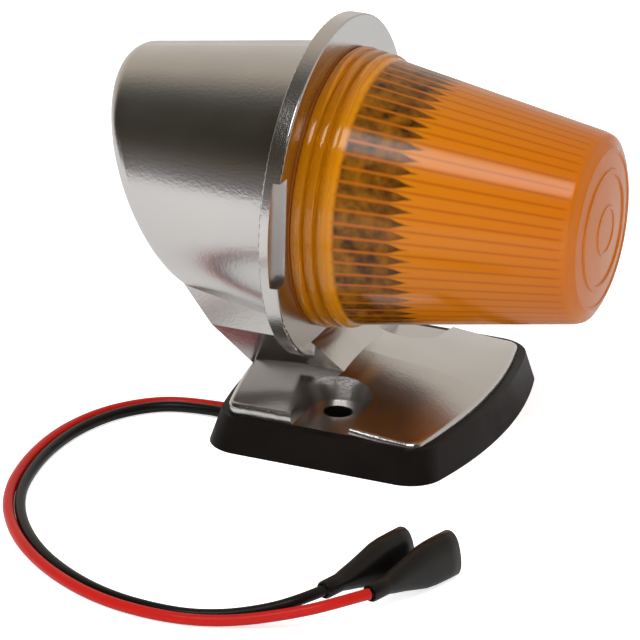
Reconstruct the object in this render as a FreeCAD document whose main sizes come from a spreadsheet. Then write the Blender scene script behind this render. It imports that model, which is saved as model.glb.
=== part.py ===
"""Car side lamp: chrome die-cast housing, amber lens, bayonet bulb holder and two flying leads.

Millimetres. X runs along the lens axis towards the lens end, Y across the lamp, Z up.
The origin lies on the underside of the rubber gasket, midway between the two screw holes.
"""
import FreeCAD, Part
import math
import os
import re

import Sketcher

Vector = FreeCAD.Vector
doc = FreeCAD.newDocument("side_lamp")

# Driving dimensions: alias, value, what it measures.
SIZES = [
    ("axis_height", 47.0, "lens axis above the resting face"),
    ("flange_face", -8.3, "front face of the round flange along X"),
    ("flange_radius", 35.0, "round flange"),
    ("flange_thick", 3.6, "round flange"),
    ("flange_edge", 0.4, "rounding of the flange rim"),
    ("notch_depth", 1.5, "recess in the rim, along X"),
    ("notch_floor", 29.6, "recess in the rim, from the lens axis"),
    ("notch_top", 11.5, "recess in the rim, above the lens axis"),
    ("notch_bottom", 10.3, "recess in the rim, below the lens axis"),
    ("cup_radius", 29.15, "cup where it meets the flange"),
    ("cup_taper", 0.15, "loss of cup radius per millimetre"),
    ("cup_back", 37.9, "slanted back behind the flange face, on the axis"),
    ("cup_lean", 0.45, "backward lean of the cup's back per millimetre of height"),
    ("cup_round", 3.0, "rounding of the cup's back edge"),
    ("cup_wall", 2.8, "die-cast wall"),
    ("cavity_depth", 24.0, "straight part of the cavity"),
    ("lip_radius", 25.5, "mouth that the lens skirt enters"),
    ("lip_depth", 2.4, "lip that the bayonet lugs sit behind"),
    ("channel_radius", 27.0, "channel that the lugs turn in"),
    ("channel_width", 3.0, "channel that the lugs turn in"),
    ("lug_count", 3, "bayonet lugs on the lens"),
    ("lug_angle", 14.0, "length of one lug in degrees"),
    ("lug_gap", 20.0, "length of one entry gap in degrees"),
    ("lens_turn", 25.0, "turn from locked to the entry gap in degrees"),
    ("seal_inner", 27.4, "seal ring"),
    ("seal_width", 1.0, "seal ring"),
    ("seal_depth", 1.0, "groove for the seal ring"),
    ("seal_stand", 0.24, "how far the seal stands out of its groove"),
    ("web_half_top", 14.5, "half width of the web at the flange"),
    ("web_half_foot", 11.4, "half width of the web at the roof of the base"),
    ("web_top", 20.0, "top section of the web below the lens axis"),
    ("web_knee", 28.5, "section where the prow leaves the flange, below the axis"),
    ("web_foot", 38.0, "lowest section of the web below the axis"),
    ("web_back_slope", 0.81, "forward run of the web's back per millimetre down"),
    ("web_back_top", 28.6, "web's back behind the flange face at its top section"),
    ("prow_slope", 0.88, "forward run of the prow per millimetre down"),
    ("prow_keel", 0.7, "how far the keel of the prow stands out"),
    ("duct_radius", 3.5, "wire duct through the web"),
    ("duct_place", 8.0, "wire duct behind the flange face"),
    ("duct_mouth", 6.0, "wide top end of the duct, radius"),
    ("duct_step", 15.0, "bottom of the duct's wide end above the resting face"),
    ("base_half", 29.6, "half width of the base"),
    ("base_front", 24.6, "front of the base on the centre line"),
    ("base_back", 22.9, "back of the base on the centre line"),
    ("front_bow", 112.0, "radius of the bowed front end"),
    ("back_bow", 150.0, "radius of the bowed back end"),
    ("base_corner", 3.0, "corner radius of the base"),
    ("base_roll", 1.15, "rolled upper edge of the base"),
    ("edge_back", 8.0, "height of the roof's long edges at the back"),
    ("edge_heel", 8.6, "height of the roof's long edges behind the web"),
    ("edge_web", 8.5, "height of the roof's long edges at the prow"),
    ("edge_mid", 7.9, "height of the roof's long edges between prow and front"),
    ("edge_front", 7.1, "height of the roof's long edges at the front"),
    ("ridge_back", 8.9, "ridge height past the back end"),
    ("ridge_heel", 12.0, "ridge height behind the web"),
    ("ridge_web", 12.7, "ridge height at the prow"),
    ("ridge_mid", 11.6, "ridge height between prow and front"),
    ("ridge_front", 10.3, "ridge height before it rolls down"),
    ("ridge_nose", 9.1, "ridge height on the nose"),
    ("ridge_tip", 7.8, "ridge height past the front end"),
    ("roof_sag", 0.2, "bow of the roof as a share of its drop"),
    ("hollow_height", 2.6, "hollow under the base"),
    ("hollow_half", 11.0, "half width of the hollow"),
    ("hollow_length", 32.0, "length of the hollow"),
    ("screw_offset", 19.6, "mounting hole from the centre line"),
    ("screw_hole", 3.0, "radius of a mounting hole"),
    ("pocket_radius", 6.0, "screw pocket at its floor"),
    ("pocket_draft", 0.9, "how much wider the pocket is at the top"),
    ("pocket_floor", 1.1, "metal under a screw head"),
    ("gasket_height", 5.8, "rubber gasket"),
    ("gasket_foot", 3.9, "gasket beyond the base at the bottom"),
    ("gasket_brim", 1.9, "gasket beyond the base at the top"),
    ("gasket_lip", 0.8, "lip round the edge of the metal"),
    ("gasket_corner", 7.5, "corner radius of the gasket"),
    ("window_back", 22.0, "opening in the gasket behind the screws"),
    ("window_wide", 19.8, "half width of that opening"),
    ("window_waist", 7.0, "where the opening narrows"),
    ("window_half", 11.0, "half width of the narrow part"),
    ("window_front", 16.0, "front of the opening"),
    ("slot_centre", 16.6, "wire slot from the centre line"),
    ("slot_width", 6.4, "wire slot"),
    ("slot_height", 2.8, "wire slot"),
    ("lens_gap", 0.3, "collar of the lens ahead of the flange"),
    ("collar_radius", 28.5, "first bead of the collar"),
    ("bead_step", 0.35, "loss of radius from bead to bead"),
    ("bead_pitch", 2.5, "one bead and its groove"),
    ("bead_groove", 0.6, "depth of a groove between beads"),
    ("lens_root", 27.0, "lens cone behind the last bead"),
    ("lens_tip", 18.7, "lens cone at its end, before rounding"),
    ("lens_length", 56.2, "lens ahead of the flange face"),
    ("lens_round", 6.4, "rounding of the lens end"),
    ("lens_wall", 2.3, "lens wall in the valleys of the flutes"),
    ("flute_count", 60, "flutes inside the lens"),
    ("flute_height", 0.7, "height of a flute"),
    ("rim_ring_radius", 12.2, "raised ring on the end face"),
    ("rim_ring_height", 0.45, "raised ring on the end face"),
    ("skirt_radius", 25.2, "skirt that enters the housing"),
    ("skirt_wall", 2.2, "skirt"),
    ("skirt_depth", 5.1, "skirt behind the flange face"),
    ("lug_height", 1.5, "lug beyond the skirt"),
    ("lug_width", 2.4, "lug along the axis"),
    ("boss_offset", 20.0, "holder boss from the axis"),
    ("boss_radius", 3.4, "holder boss"),
    ("boss_face", 12.7, "holder boss behind the flange face"),
    ("boss_length", 22.0, "holder boss"),
    ("plate_thick", 1.2, "holder strap"),
    ("plate_disc", 12.0, "round middle of the strap"),
    ("plate_half", 23.4, "half length of the strap"),
    ("plate_height", 9.0, "height of the strap's arms"),
    ("screw_radius", 1.5, "holder screws"),
    ("screw_length", 9.0, "holder screws below the strap"),
    ("head_radius", 2.7, "holder screw heads"),
    ("head_height", 2.0, "holder screw heads"),
    ("washer_thick", 0.8, "spring washers"),
    ("shell_inner", 7.7, "bayonet sleeve"),
    ("shell_wall", 0.9, "bayonet sleeve"),
    ("shell_front", 3.0, "front of the sleeve ahead of the flange face"),
    ("shell_length", 27.0, "bayonet sleeve"),
    ("shell_lip", 0.6, "lip at the back of the sleeve"),
    ("slot_wide", 2.3, "J slot"),
    ("slot_shift", 3.7, "entry of the J slot beside its hook"),
    ("bulb_push", 1.5, "how far the bulb is pushed in"),
    ("end_disc", 1.5, "insulating end disc"),
    ("carrier_thick", 2.0, "sliding carrier"),
    ("carrier_play", 0.08, "carrier in the sleeve"),
    ("plunger_radius", 2.5, "head of the centre contact"),
    ("plunger_head", 1.2, "head of the centre contact"),
    ("stem_radius", 1.3, "stem of the centre contact"),
    ("stem_length", 3.4, "stem of the centre contact"),
    ("contact_gap", 0.1, "between bulb and plunger"),
    ("spring_radius", 3.4, "contact spring, to the middle of its wire"),
    ("spring_wire", 0.35, "radius of the spring wire"),
    ("spring_turns", 4, "turns of the contact spring"),
    ("cap_radius", 7.6, "bulb cap"),
    ("cap_length", 17.5, "bulb cap"),
    ("cap_wall", 0.5, "bulb cap"),
    ("cap_back", 11.5, "back of the cap behind the flange face"),
    ("pin_place", 7.0, "bayonet pins ahead of the cap's back"),
    ("pin_radius", 1.0, "bayonet pins"),
    ("pin_reach", 8.5, "tip of a pin from the axis"),
    ("pip_height", 0.8, "solder contact of the bulb"),
    ("pip_radius", 1.8, "solder contact of the bulb"),
    ("bulb_base", 1.0, "insulator under the cap"),
    ("glass_radius", 9.0, "bulb glass"),
    ("glass_length", 20.0, "bulb glass ahead of the cap"),
    ("glass_wall", 0.7, "bulb glass"),
    ("neck_radius", 7.1, "neck of the glass inside the cap"),
    ("neck_depth", 6.0, "neck of the glass inside the cap"),
    ("stem_glass", 1.8, "glass mount of the filament"),
    ("stem_reach", 4.0, "glass mount ahead of the cap"),
    ("post_radius", 0.3, "filament posts"),
    ("post_reach", 8.0, "filament posts ahead of the glass mount"),
    ("filament_radius", 0.35, "filament coil"),
    ("tab_stand", 1.3, "live tab behind the lip of the bayonet sleeve"),
    ("tab_thick", 0.8, "live tab"),
    ("tab_width", 2.8, "live tab"),
    ("tab_reach", 7.8, "live tab below the axis"),
    ("rivet_radius", 1.2, "live rivet"),
    ("rivet_head", 2.0, "live rivet"),
    ("rivet_cap", 0.8, "live rivet heads"),
    ("crimp_width", 3.8, "push-on receptacle"),
    ("crimp_thick", 2.0, "push-on receptacle"),
    ("crimp_top", 2.6, "top of the receptacle below the axis"),
    ("crimp_length", 6.2, "push-on receptacle"),
    ("barrel_radius", 1.6, "crimp barrels"),
    ("barrel_length", 3.2, "crimp barrels"),
    ("wire_radius", 1.1, "PVC leads"),
    ("ring_radius", 3.2, "ring terminal"),
    ("ring_thick", 0.8, "ring terminal"),
    ("ring_drop", 5.4, "barrel of the ring terminal below the axis"),
    ("sleeve_length", 24.5, "terminal sleeves"),
    ("neck_outer", 1.75, "round neck of a sleeve"),
    ("neck_length", 5.0, "round neck of a sleeve"),
    ("sleeve_wide", 9.0, "flat end of a sleeve"),
    ("sleeve_thick", 4.8, "flat end of a sleeve"),
    ("sleeve_flat", 8.5, "length of the flat end"),
    ("sleeve_wall", 0.7, "terminal sleeves"),
    ("sleeve_lift", 4.6, "sleeve's centre line above the floor"),
    ("sleeve_roll", 78.0, "turn of a sleeve that lies on its narrow side"),
    ("blade_width", 7.0, "female blade terminal"),
    ("blade_thick", 2.4, "female blade terminal"),
    ("blade_length", 7.5, "female blade terminal"),
    ("blade_inset", 1.0, "terminal behind the sleeve's mouth"),
]

# Stations of the roof along X with the heights of its ridge and long edges at each.
ROOF_STATIONS = [
    (-31.0, "ridge_back", "edge_back"),
    (-17.0, "ridge_heel", "edge_heel"),
    (-5.3, "ridge_web", "edge_web"),
    (5.7, "ridge_mid", "edge_mid"),
    (15.7, "ridge_front", "edge_front"),
    (20.7, "ridge_nose", "edge_front"),
    (27.5, "ridge_tip", "edge_front"),
]
ROOF_HALF = 31.0

# Routes of the two leads on the floor, from the gasket up to the sleeves' necks.
RED_ROUTE = [
    (-27.6, -15.8, 1.3), (-34.8, -16.1, 1.2), (-42.0, -20.0, 1.15), (-48.2, -28.5, 1.15),
    (-51.6, -40.8, 1.15), (-51.6, -55.6, 1.15), (-48.1, -72.2, 1.15), (-39.7, -87.0, 1.15),
    (-27.6, -98.9, 1.15), (-12.6, -107.0, 1.15), (2.4, -108.6, 1.15), (13.4, -105.3, 1.2),
    (24.9, -100.2, 3.3), (30.9, -95.4, 4.5), (34.5, -90.1, 4.6),
]
BLACK_ROUTE = [
    (-27.6, -18.1, 1.3), (-34.3, -18.4, 1.2), (-40.5, -21.8, 1.15), (-46.1, -29.5, 1.15),
    (-49.3, -41.1, 1.15), (-49.3, -55.4, 1.15), (-46.0, -71.4, 1.15), (-37.9, -85.6, 1.15),
    (-26.3, -97.1, 1.15), (-12.0, -104.8, 1.15), (2.1, -106.3, 1.15), (10.6, -103.7, 1.2),
    (18.2, -100.7, 2.6), (23.8, -98.1, 4.5), (26.3, -92.5, 4.6),
]
# Ends of the sleeves: where the neck starts, and a place under the mouth that it points at.
RED_SLEEVE = ((34.6, -89.9), (42.0, -66.7))
BLACK_SLEEVE = ((26.4, -92.3), (33.7, -68.7))

PARTS = {}


def make_sheet():
    """Fill the spreadsheet that drives the model."""
    sheet = doc.addObject("Spreadsheet::Sheet", "sizes")
    for row, (alias, value, note) in enumerate(SIZES, start=1):
        sheet.set(f"A{row}", alias)
        sheet.set(f"B{row}", str(value))
        sheet.set(f"C{row}", note)
        sheet.setAlias(f"B{row}", alias)
    doc.recompute()
    return sheet


SHEET = make_sheet()
NAMES = re.compile(r"\b(" + "|".join(alias for alias, _, _ in SIZES) + r")\b")


def linked(text):
    """Turn bare size names in an expression into references to the sheet."""
    return NAMES.sub(r"sizes.\1", str(text))


def number(text):
    """Value of an expression over the sheet's sizes."""
    result = SHEET.evalExpression(linked(text))
    return float(getattr(result, "Value", result))


def bind(target, prop, text):
    """Bind one property of an object to an expression over the sizes."""
    target.setExpression(prop, linked(text))


def new_body(name, centre_z="0"):
    """Body of one sub-part; its own X axis lies at the given height."""
    body = doc.addObject("PartDesign::Body", name)
    body.Label = name
    bind(body, "Placement.Base.z", centre_z)
    return body


def new_sketch(body, role, offset="0", tilt=None):
    """Sketch on one origin plane of a body, moved along the plane's normal and tilted."""
    sketch = body.newObject("Sketcher::SketchObject", f"{body.Name}_sketch")
    origin_plane = [item for item in body.Origin.OriginFeatures if item.Role == role][0]
    sketch.AttachmentSupport = [(origin_plane, "")]
    sketch.MapMode = "FlatFace"
    if tilt is not None:
        turn = FreeCAD.Rotation(Vector(1, 0, 0), number(tilt))
        sketch.AttachmentOffset = FreeCAD.Placement(Vector(0, 0, number(offset)), turn)
        bind(sketch, "AttachmentOffset.Rotation.Angle", tilt)
    bind(sketch, "AttachmentOffset.Base.z", offset)
    return sketch


def pin_points(sketch, pins):
    """Hold sketch points at places given by expressions; pins holds (geometry, point, (x, y))."""
    texts = []
    rules = []
    for geometry, point, place in pins:
        for kind, text in zip(("DistanceX", "DistanceY"), place):
            texts.append(text)
            rules.append(Sketcher.Constraint(kind, -1, 1, geometry, point, number(text)))
    for index, text in zip(sketch.addConstraint(rules), texts):
        bind(sketch, f"Constraints[{index}]", text)


def arc_between(start, end, radius, side):
    """Arc from start to end; its centre lies left of the way for side 1, right for side -1."""
    chord = end - start
    middle = (start + end) * 0.5
    reach = math.sqrt(max(radius * radius - chord.Length * chord.Length / 4.0, 0.0))
    normal = Vector(-chord.y, chord.x, 0)
    normal.normalize()
    centre = middle + normal * (side * reach)
    first, last = (start, end) if side > 0 else (end, start)
    low = math.atan2(first.y - centre.y, first.x - centre.x)
    high = math.atan2(last.y - centre.y, last.x - centre.x)
    return Part.ArcOfCircle(Part.Circle(centre, Vector(0, 0, 1), radius), low, high)


def closed_outline(sketch, corners, arcs=None):
    """Closed outline through corners; arcs maps an edge's number to its radius and side."""
    arcs = arcs or {}
    spots = [Vector(number(x), number(y), 0) for x, y in corners]
    count = len(corners)
    first = sketch.GeometryCount
    ends = []
    shapes = []
    for edge in range(count):
        start, end = spots[edge], spots[(edge + 1) % count]
        if edge in arcs:
            radius, side = arcs[edge]
            shapes.append(arc_between(start, end, number(radius), side))
            ends.append((1, 2) if side > 0 else (2, 1))
        else:
            shapes.append(Part.LineSegment(start, end))
            ends.append((1, 2))
    sketch.addGeometry(shapes, False)
    joints = []
    for edge in range(count):
        following = (edge + 1) % count
        joints.append(Sketcher.Constraint(
            "Coincident", first + edge, ends[edge][1], first + following, ends[following][0]))
    sketch.addConstraint(joints)
    for edge, (radius, _) in arcs.items():
        index = sketch.addConstraint(Sketcher.Constraint("Radius", first + edge, number(radius)))
        bind(sketch, f"Constraints[{index}]", radius)
    pin_points(sketch, [(first + edge, ends[edge][0], corners[edge]) for edge in range(count)])
    return sketch


def circle(sketch, x, y, radius):
    """Circle with its centre and radius bound to expressions."""
    shape = Part.Circle(Vector(number(x), number(y), 0), Vector(0, 0, 1), number(radius))
    index = sketch.addGeometry(shape, False)
    pin_points(sketch, [(index, 3, (x, y))])
    row = sketch.addConstraint(Sketcher.Constraint("Radius", index, number(radius)))
    bind(sketch, f"Constraints[{row}]", radius)
    return sketch


def rectangle(sketch, x_low, y_low, x_high, y_high):
    """Rectangle between two corners."""
    return closed_outline(sketch, [(x_low, y_low), (x_high, y_low), (x_high, y_high), (x_low, y_high)])


def extrude(body, kind, sketch, length, backwards=False, both=False):
    """Pad or Pocket of a sketch."""
    feature = body.newObject(f"PartDesign::{kind}", f"{body.Name}_{kind.lower()}")
    feature.Profile = sketch
    bind(feature, "Length", length)
    feature.Reversed = backwards
    if both:
        feature.Midplane = True
    sketch.Visibility = False
    return feature


def turn_solid(body, kind, sketch, angle="360", both=False):
    """Revolution or Groove about the body's own X axis."""
    feature = body.newObject(f"PartDesign::{kind}", f"{body.Name}_{kind.lower()}")
    feature.Profile = sketch
    axis = [item for item in body.Origin.OriginFeatures if item.Role == "X_Axis"][0]
    feature.ReferenceAxis = (axis, [""])
    bind(feature, "Angle", angle)
    if both:
        feature.Midplane = True
    return feature


def loft(body, kind, sections, ruled=False):
    """Additive or subtractive loft through sketches."""
    feature = body.newObject(f"PartDesign::{kind}", f"{body.Name}_loft")
    feature.Profile = sections[0]
    feature.Sections = sections[1:]
    feature.Ruled = ruled
    return feature


def pattern(body, feature, count):
    """Copies of one feature evenly round the body's X axis."""
    copies = body.newObject("PartDesign::PolarPattern", f"{body.Name}_pattern")
    copies.Originals = [feature]
    axis = [item for item in body.Origin.OriginFeatures if item.Role == "X_Axis"][0]
    copies.Axis = (axis, [""])
    copies.Angle = 360
    bind(copies, "Occurrences", count)
    body.Tip = copies
    return copies


def round_edges(body, radius, wanted):
    """Fillet on every edge of the body so far that passes the test."""
    doc.recompute()
    base = body.Tip
    names = [f"Edge{number_ + 1}" for number_, edge in enumerate(base.Shape.Edges) if wanted(edge)]
    feature = body.newObject("PartDesign::Fillet", f"{body.Name}_fillet")
    feature.Base = (base, names)
    bind(feature, "Radius", radius)
    return feature


def round_bar(name, centre_z, spans):
    """Turned piece on the lens axis from (start, end, radius) spans along X."""
    body = new_body(name, centre_z)
    for start, end, radius in spans:
        sketch = circle(new_sketch(body, "YZ_Plane", start), "0", "0", radius)
        extrude(body, "Pad", sketch, f"({end}) - ({start})")
    return body


def keep(name, item):
    """Register the finished object of one sub-part."""
    PARTS[name] = item
    item.Label = name
    return item


def along_axis(edge, x):
    """True for a full circle about the lens axis at a given X."""
    curve = edge.Curve
    return isinstance(curve, Part.Circle) and abs(curve.Center.x - x) < 1e-4 and abs(curve.Center.y) < 1e-4


def plan_outline(sketch, grow, corner):
    """Plan of the base, grown outwards: straight sides, bowed ends and tangent corner arcs."""
    half = f"(base_half + {grow})"
    points = []
    arcs = {}
    for way, bow, reach, side in ((1, "front_bow", "base_front", -1), (1, "front_bow", "base_front", 1),
                                  (-1, "back_bow", "base_back", 1), (-1, "back_bow", "base_back", -1)):
        middle = f"{way} * ({reach} + {grow} - {bow})"
        run = f"sqrt(({bow} - {corner}) * ({bow} - {corner}) - ({half} - {corner}) * ({half} - {corner}))"
        on_side = (f"{middle} + {way} * {run}", f"{side} * {half}")
        on_bow = (f"{middle} + {way} * {run} * {bow} / ({bow} - {corner})",
                  f"{side} * ({half} - {corner}) * {bow} / ({bow} - {corner})")
        arcs[len(points)] = (corner, 1)
        if way * side < 0:
            points += [on_side, on_bow]
            arcs[len(points) - 1] = (bow, 1)
        else:
            points += [on_bow, on_side]
    return closed_outline(sketch, points, arcs)


def build_base(body):
    """Crowned roof of the base, trimmed to its plan and rolled over at the edge."""
    floor = "gasket_height - axis_height"
    sections = []
    for place, ridge, edge in ROOF_STATIONS:
        sketch = new_sketch(body, "YZ_Plane", place)
        drop = f"({ridge} - {edge})"
        sag = f"(roof_sag * {drop})"
        bow = f"({ROOF_HALF} * {ROOF_HALF} + {drop} * {drop}) / (8 * {sag}) + {sag} / 2"
        corners = [
            (f"{-ROOF_HALF}", floor),
            (f"{ROOF_HALF}", floor),
            (f"{ROOF_HALF}", f"{edge} - axis_height"),
            ("0", f"{ridge} - axis_height"),
            (f"{-ROOF_HALF}", f"{edge} - axis_height"),
        ]
        sections.append(closed_outline(sketch, corners, {2: (bow, 1), 3: (bow, 1)}))
    loft(body, "AdditiveLoft", sections)

    trim = new_sketch(body, "XY_Plane", floor)
    rectangle(trim, "-60", "-60", "60", "60")
    plan_outline(trim, "0", "base_corner")
    extrude(body, "Pocket", trim, "20", backwards=True)

    def on_roof_rim(edge):
        points = [edge.valueAt(edge.FirstParameter + (edge.LastParameter - edge.FirstParameter) * share)
                  for share in (0.1, 0.5, 0.9)]
        floor_z = number(floor)
        half = number("base_half")
        high = all(point.z > floor_z + 0.5 for point in points)
        middle = points[1]
        back, front = number("4 - base_back"), number("base_front - 4")
        inside = abs(middle.y) < half - 0.5 and back < middle.x < front
        level = abs(points[0].z - points[2].z) < 6 and edge.Length > 1.5
        return high and level and not inside

    round_edges(body, "base_roll", on_roof_rim)


def build_cup(body):
    """Cone-shaped cup, cut off by a leaning plane at the back."""
    root = "flange_face - flange_thick"
    tail = "flange_face - cup_back - cup_lean * cup_radius - 4"
    below = "(axis_height - ridge_web)"
    sketch = new_sketch(body, "XZ_Plane")
    closed_outline(sketch, [
        (tail, "0"),
        (root, "0"),
        (root, "cup_radius"),
        (tail, f"cup_radius - cup_taper * ({root} - ({tail}))"),
    ])
    turn_solid(body, "Revolution", sketch)
    cut = new_sketch(body, "XZ_Plane")
    closed_outline(cut, [
        ("flange_face - cup_back - cup_lean * 60", "60"),
        (f"flange_face - cup_back + cup_lean * {below}", f"0 - {below}"),
        ("flange_face - cup_back - 60", f"0 - {below}"),
        ("flange_face - cup_back - 60", "60"),
    ])
    extrude(body, "Pocket", cut, "120", both=True)

    def on_back(edge):
        middle = edge.valueAt((edge.FirstParameter + edge.LastParameter) / 2)
        plane_x = number("flange_face - cup_back") - number("cup_lean") * middle.z
        ends = [vertex.Point for vertex in edge.Vertexes]
        flat = all(abs(point.x - number("flange_face - cup_back") + number("cup_lean") * point.z) < 0.01
                   for point in ends)
        return flat and abs(middle.x - plane_x) < 0.01 and edge.Length > 5

    round_edges(body, "cup_round", on_back)


def web_section(body, depth, back, front, half, keel):
    """One level section of the web: a rectangle with a keel at its front."""
    sketch = new_sketch(body, "XY_Plane", f"0 - ({depth})")
    return closed_outline(sketch, [
        (back, f"0 - ({half})"),
        (front, f"0 - ({half})"),
        (f"{front} + {keel}", "0"),
        (front, half),
        (back, half),
    ])


def build_web(body):
    """Web from cup to base, with its slanted back and the prow that runs down to the roof."""
    def back_at(depth):
        return f"flange_face - web_back_top + web_back_slope * ({depth} - web_top)"

    buried = "flange_face - flange_thick / 2"
    upper = web_section(body, "web_top", back_at("web_top"), buried, "web_half_top", "0.05")
    middle = web_section(body, "web_knee", back_at("web_knee"), buried, "web_half_top", "0.05")
    loft(body, "AdditiveLoft", [upper, middle], ruled=True)
    start = web_section(body, "web_knee", back_at("web_knee"), "flange_face", "web_half_top", "0.05")
    share = "(web_foot - web_knee) / (axis_height - ridge_web - web_knee)"
    foot_half = f"web_half_top - (web_half_top - web_half_foot) * {share}"
    foot_front = "flange_face + prow_slope * (web_foot - web_knee)"
    foot = web_section(body, "web_foot", back_at("web_foot"), foot_front, foot_half, "prow_keel")
    loft(body, "AdditiveLoft", [start, foot], ruled=True)


def build_flange(body):
    """Round flange with its rounded rim and the recess in it."""
    sketch = new_sketch(body, "YZ_Plane", "flange_face - flange_thick")
    circle(sketch, "0", "0", "flange_radius")
    extrude(body, "Pad", sketch, "flange_thick")
    rim = number("flange_radius")
    round_edges(body, "flange_edge", lambda edge: isinstance(edge.Curve, Part.Circle)
                and abs(edge.Curve.Radius - rim) < 1e-4 and edge.Length > 60)
    recess = new_sketch(body, "YZ_Plane", "flange_face")
    rectangle(recess, "0 - flange_radius - 5", "0 - notch_bottom", "0 - notch_floor", "notch_top")
    extrude(body, "Pocket", recess, "notch_depth")


def cut_cavity(body):
    """Cavity of the cup, the bayonet mouth for the lens and the seal groove."""
    front = "flange_face"
    mouth = [
        (f"{front} + 1", "0"),
        (f"{front} + 1", "lip_radius"),
        (f"{front} - lip_depth", "lip_radius"),
        (f"{front} - lip_depth", "channel_radius"),
        (f"{front} - lip_depth - channel_width", "channel_radius"),
        (f"{front} - lip_depth - channel_width", inner_radius("lip_depth + channel_width")),
        (f"{front} - cavity_depth", inner_radius("cavity_depth")),
        (f"{front} - cavity_depth", "0"),
    ]
    turn_solid(body, "Groove", closed_outline(new_sketch(body, "XZ_Plane"), mouth))

    near = new_sketch(body, "YZ_Plane", "flange_face - cavity_depth + 0.01")
    circle(near, "0", "0", inner_radius("cavity_depth"))
    wall = "cup_wall * sqrt(1 + cup_lean * cup_lean)"
    tilt = "-1 * atan(cup_lean)"
    floor = new_sketch(body, "YZ_Plane", f"flange_face - cup_back + {wall}", tilt)
    circle(floor, "0", "0", inner_radius("cup_back") + " - cup_wall / 2")
    loft(body, "SubtractiveLoft", [near, floor])

    gap = new_sketch(body, "XZ_Plane")
    rectangle(gap, "flange_face - lip_depth - 0.2", "lip_radius - 1", "flange_face + 1", "channel_radius")
    opening = turn_solid(body, "Groove", gap, "lug_gap", both=True)
    doc.recompute()
    return opening


def inner_radius(depth):
    """Radius of the cavity at a depth behind the flange face."""
    return f"(cup_radius - cup_taper * ({depth} - flange_thick) - cup_wall)"


def build_housing():
    """Chrome-plated die casting, in one piece."""
    body = new_body("housing", "axis_height")
    build_base(body)
    build_cup(body)
    build_web(body)
    build_flange(body)
    cut_cavity(body)
    pattern(body, body.Tip, "lug_count")

    groove = new_sketch(body, "YZ_Plane", "flange_face")
    circle(groove, "0", "0", "seal_inner")
    circle(groove, "0", "0", "seal_inner + seal_width")
    extrude(body, "Pocket", groove, "seal_depth")

    bosses = new_sketch(body, "YZ_Plane", "flange_face - boss_face")
    for side in (-1, 1):
        circle(bosses, f"{side} * boss_offset", "0", "boss_radius")
    extrude(body, "Pad", bosses, "boss_length", backwards=True)
    pilots = new_sketch(body, "YZ_Plane", "flange_face - boss_face")
    for side in (-1, 1):
        circle(pilots, f"{side} * boss_offset", "0", "screw_radius")
    extrude(body, "Pocket", pilots, "screw_length + 1")

    hollow = new_sketch(body, "XY_Plane", "gasket_height - axis_height")
    rectangle(hollow, "0 - hollow_length / 2 - 4", "0 - hollow_half", "hollow_length / 2 - 4", "hollow_half")
    extrude(body, "Pocket", hollow, "hollow_height", backwards=True)
    duct = new_sketch(body, "XY_Plane", "gasket_height - axis_height")
    circle(duct, "flange_face - duct_place", "0", "duct_radius")
    rise = "axis_height - cup_radius + cup_wall + 6"
    extrude(body, "Pocket", duct, f"{rise} - gasket_height", backwards=True)
    mouth = new_sketch(body, "XY_Plane", "duct_step - axis_height")
    circle(mouth, "flange_face - duct_place - 1.5", "0", "duct_mouth")
    extrude(body, "Pocket", mouth, f"{rise} - duct_step", backwards=True)

    cut_screw_pockets(body)
    return keep("housing", body)


def cut_screw_pockets(body):
    """U-shaped pockets, open to the long sides, each with a hole in its floor."""
    floor = "gasket_height - axis_height + pocket_floor"
    for side in (-1, 1):
        sections = []
        for height, radius in ((floor, "pocket_radius"),
                               (f"{floor} + 8", "(pocket_radius + pocket_draft * 2)")):
            sketch = new_sketch(body, "XY_Plane", height)
            outer = f"{side} * (base_half + 6)"
            inner = f"{side} * screw_offset"
            corners = [
                (f"0 - {radius}", outer),
                (f"0 - {radius}", inner),
                (radius, inner),
                (radius, outer),
            ]
            turn = 1 if side < 0 else -1
            closed_outline(sketch, corners, {1: (radius + " * 1.00001", -turn)})
            sections.append(sketch)
        loft(body, "SubtractiveLoft", sections, ruled=True)
    holes = new_sketch(body, "XY_Plane", "gasket_height - axis_height")
    for side in (-1, 1):
        circle(holes, "0", f"{side} * screw_offset", "screw_hole")
    extrude(body, "Pocket", holes, "pocket_floor + 1", backwards=True)


def build_gasket():
    """Rubber gasket: flared block with a window, two screw holes, a wire slot and a lip."""
    body = new_body("base_gasket")
    foot = plan_outline(new_sketch(body, "XY_Plane", "0"), "gasket_foot", "gasket_corner")
    top = new_sketch(body, "XY_Plane", "gasket_height + gasket_lip")
    brim = plan_outline(top, "gasket_brim", "gasket_corner")
    loft(body, "AdditiveLoft", [foot, brim], ruled=True)

    seat = plan_outline(new_sketch(body, "XY_Plane", "gasket_height"), "0.05", "base_corner")
    extrude(body, "Pocket", seat, "5", backwards=True)
    window = new_sketch(body, "XY_Plane", "0")
    closed_outline(window, [
        ("0 - window_back", "0 - window_wide"),
        ("0 - window_waist", "0 - window_wide"),
        ("0 - window_waist", "0 - window_half"),
        ("window_front", "0 - window_half"),
        ("window_front", "window_half"),
        ("0 - window_waist", "window_half"),
        ("0 - window_waist", "window_wide"),
        ("0 - window_back", "window_wide"),
    ])
    extrude(body, "Pocket", window, "20", backwards=True)
    holes = new_sketch(body, "XY_Plane", "0")
    for side in (-1, 1):
        circle(holes, "0", f"{side} * screw_offset", "screw_hole")
    extrude(body, "Pocket", holes, "20", backwards=True)
    slot = new_sketch(body, "XY_Plane", "0")
    rectangle(slot, "0 - base_back - 10", "0 - slot_centre - slot_width / 2",
              "0 - window_back + 1", "0 - slot_centre + slot_width / 2")
    extrude(body, "Pocket", slot, "slot_height", backwards=True)
    return keep("base_gasket", body)


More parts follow.
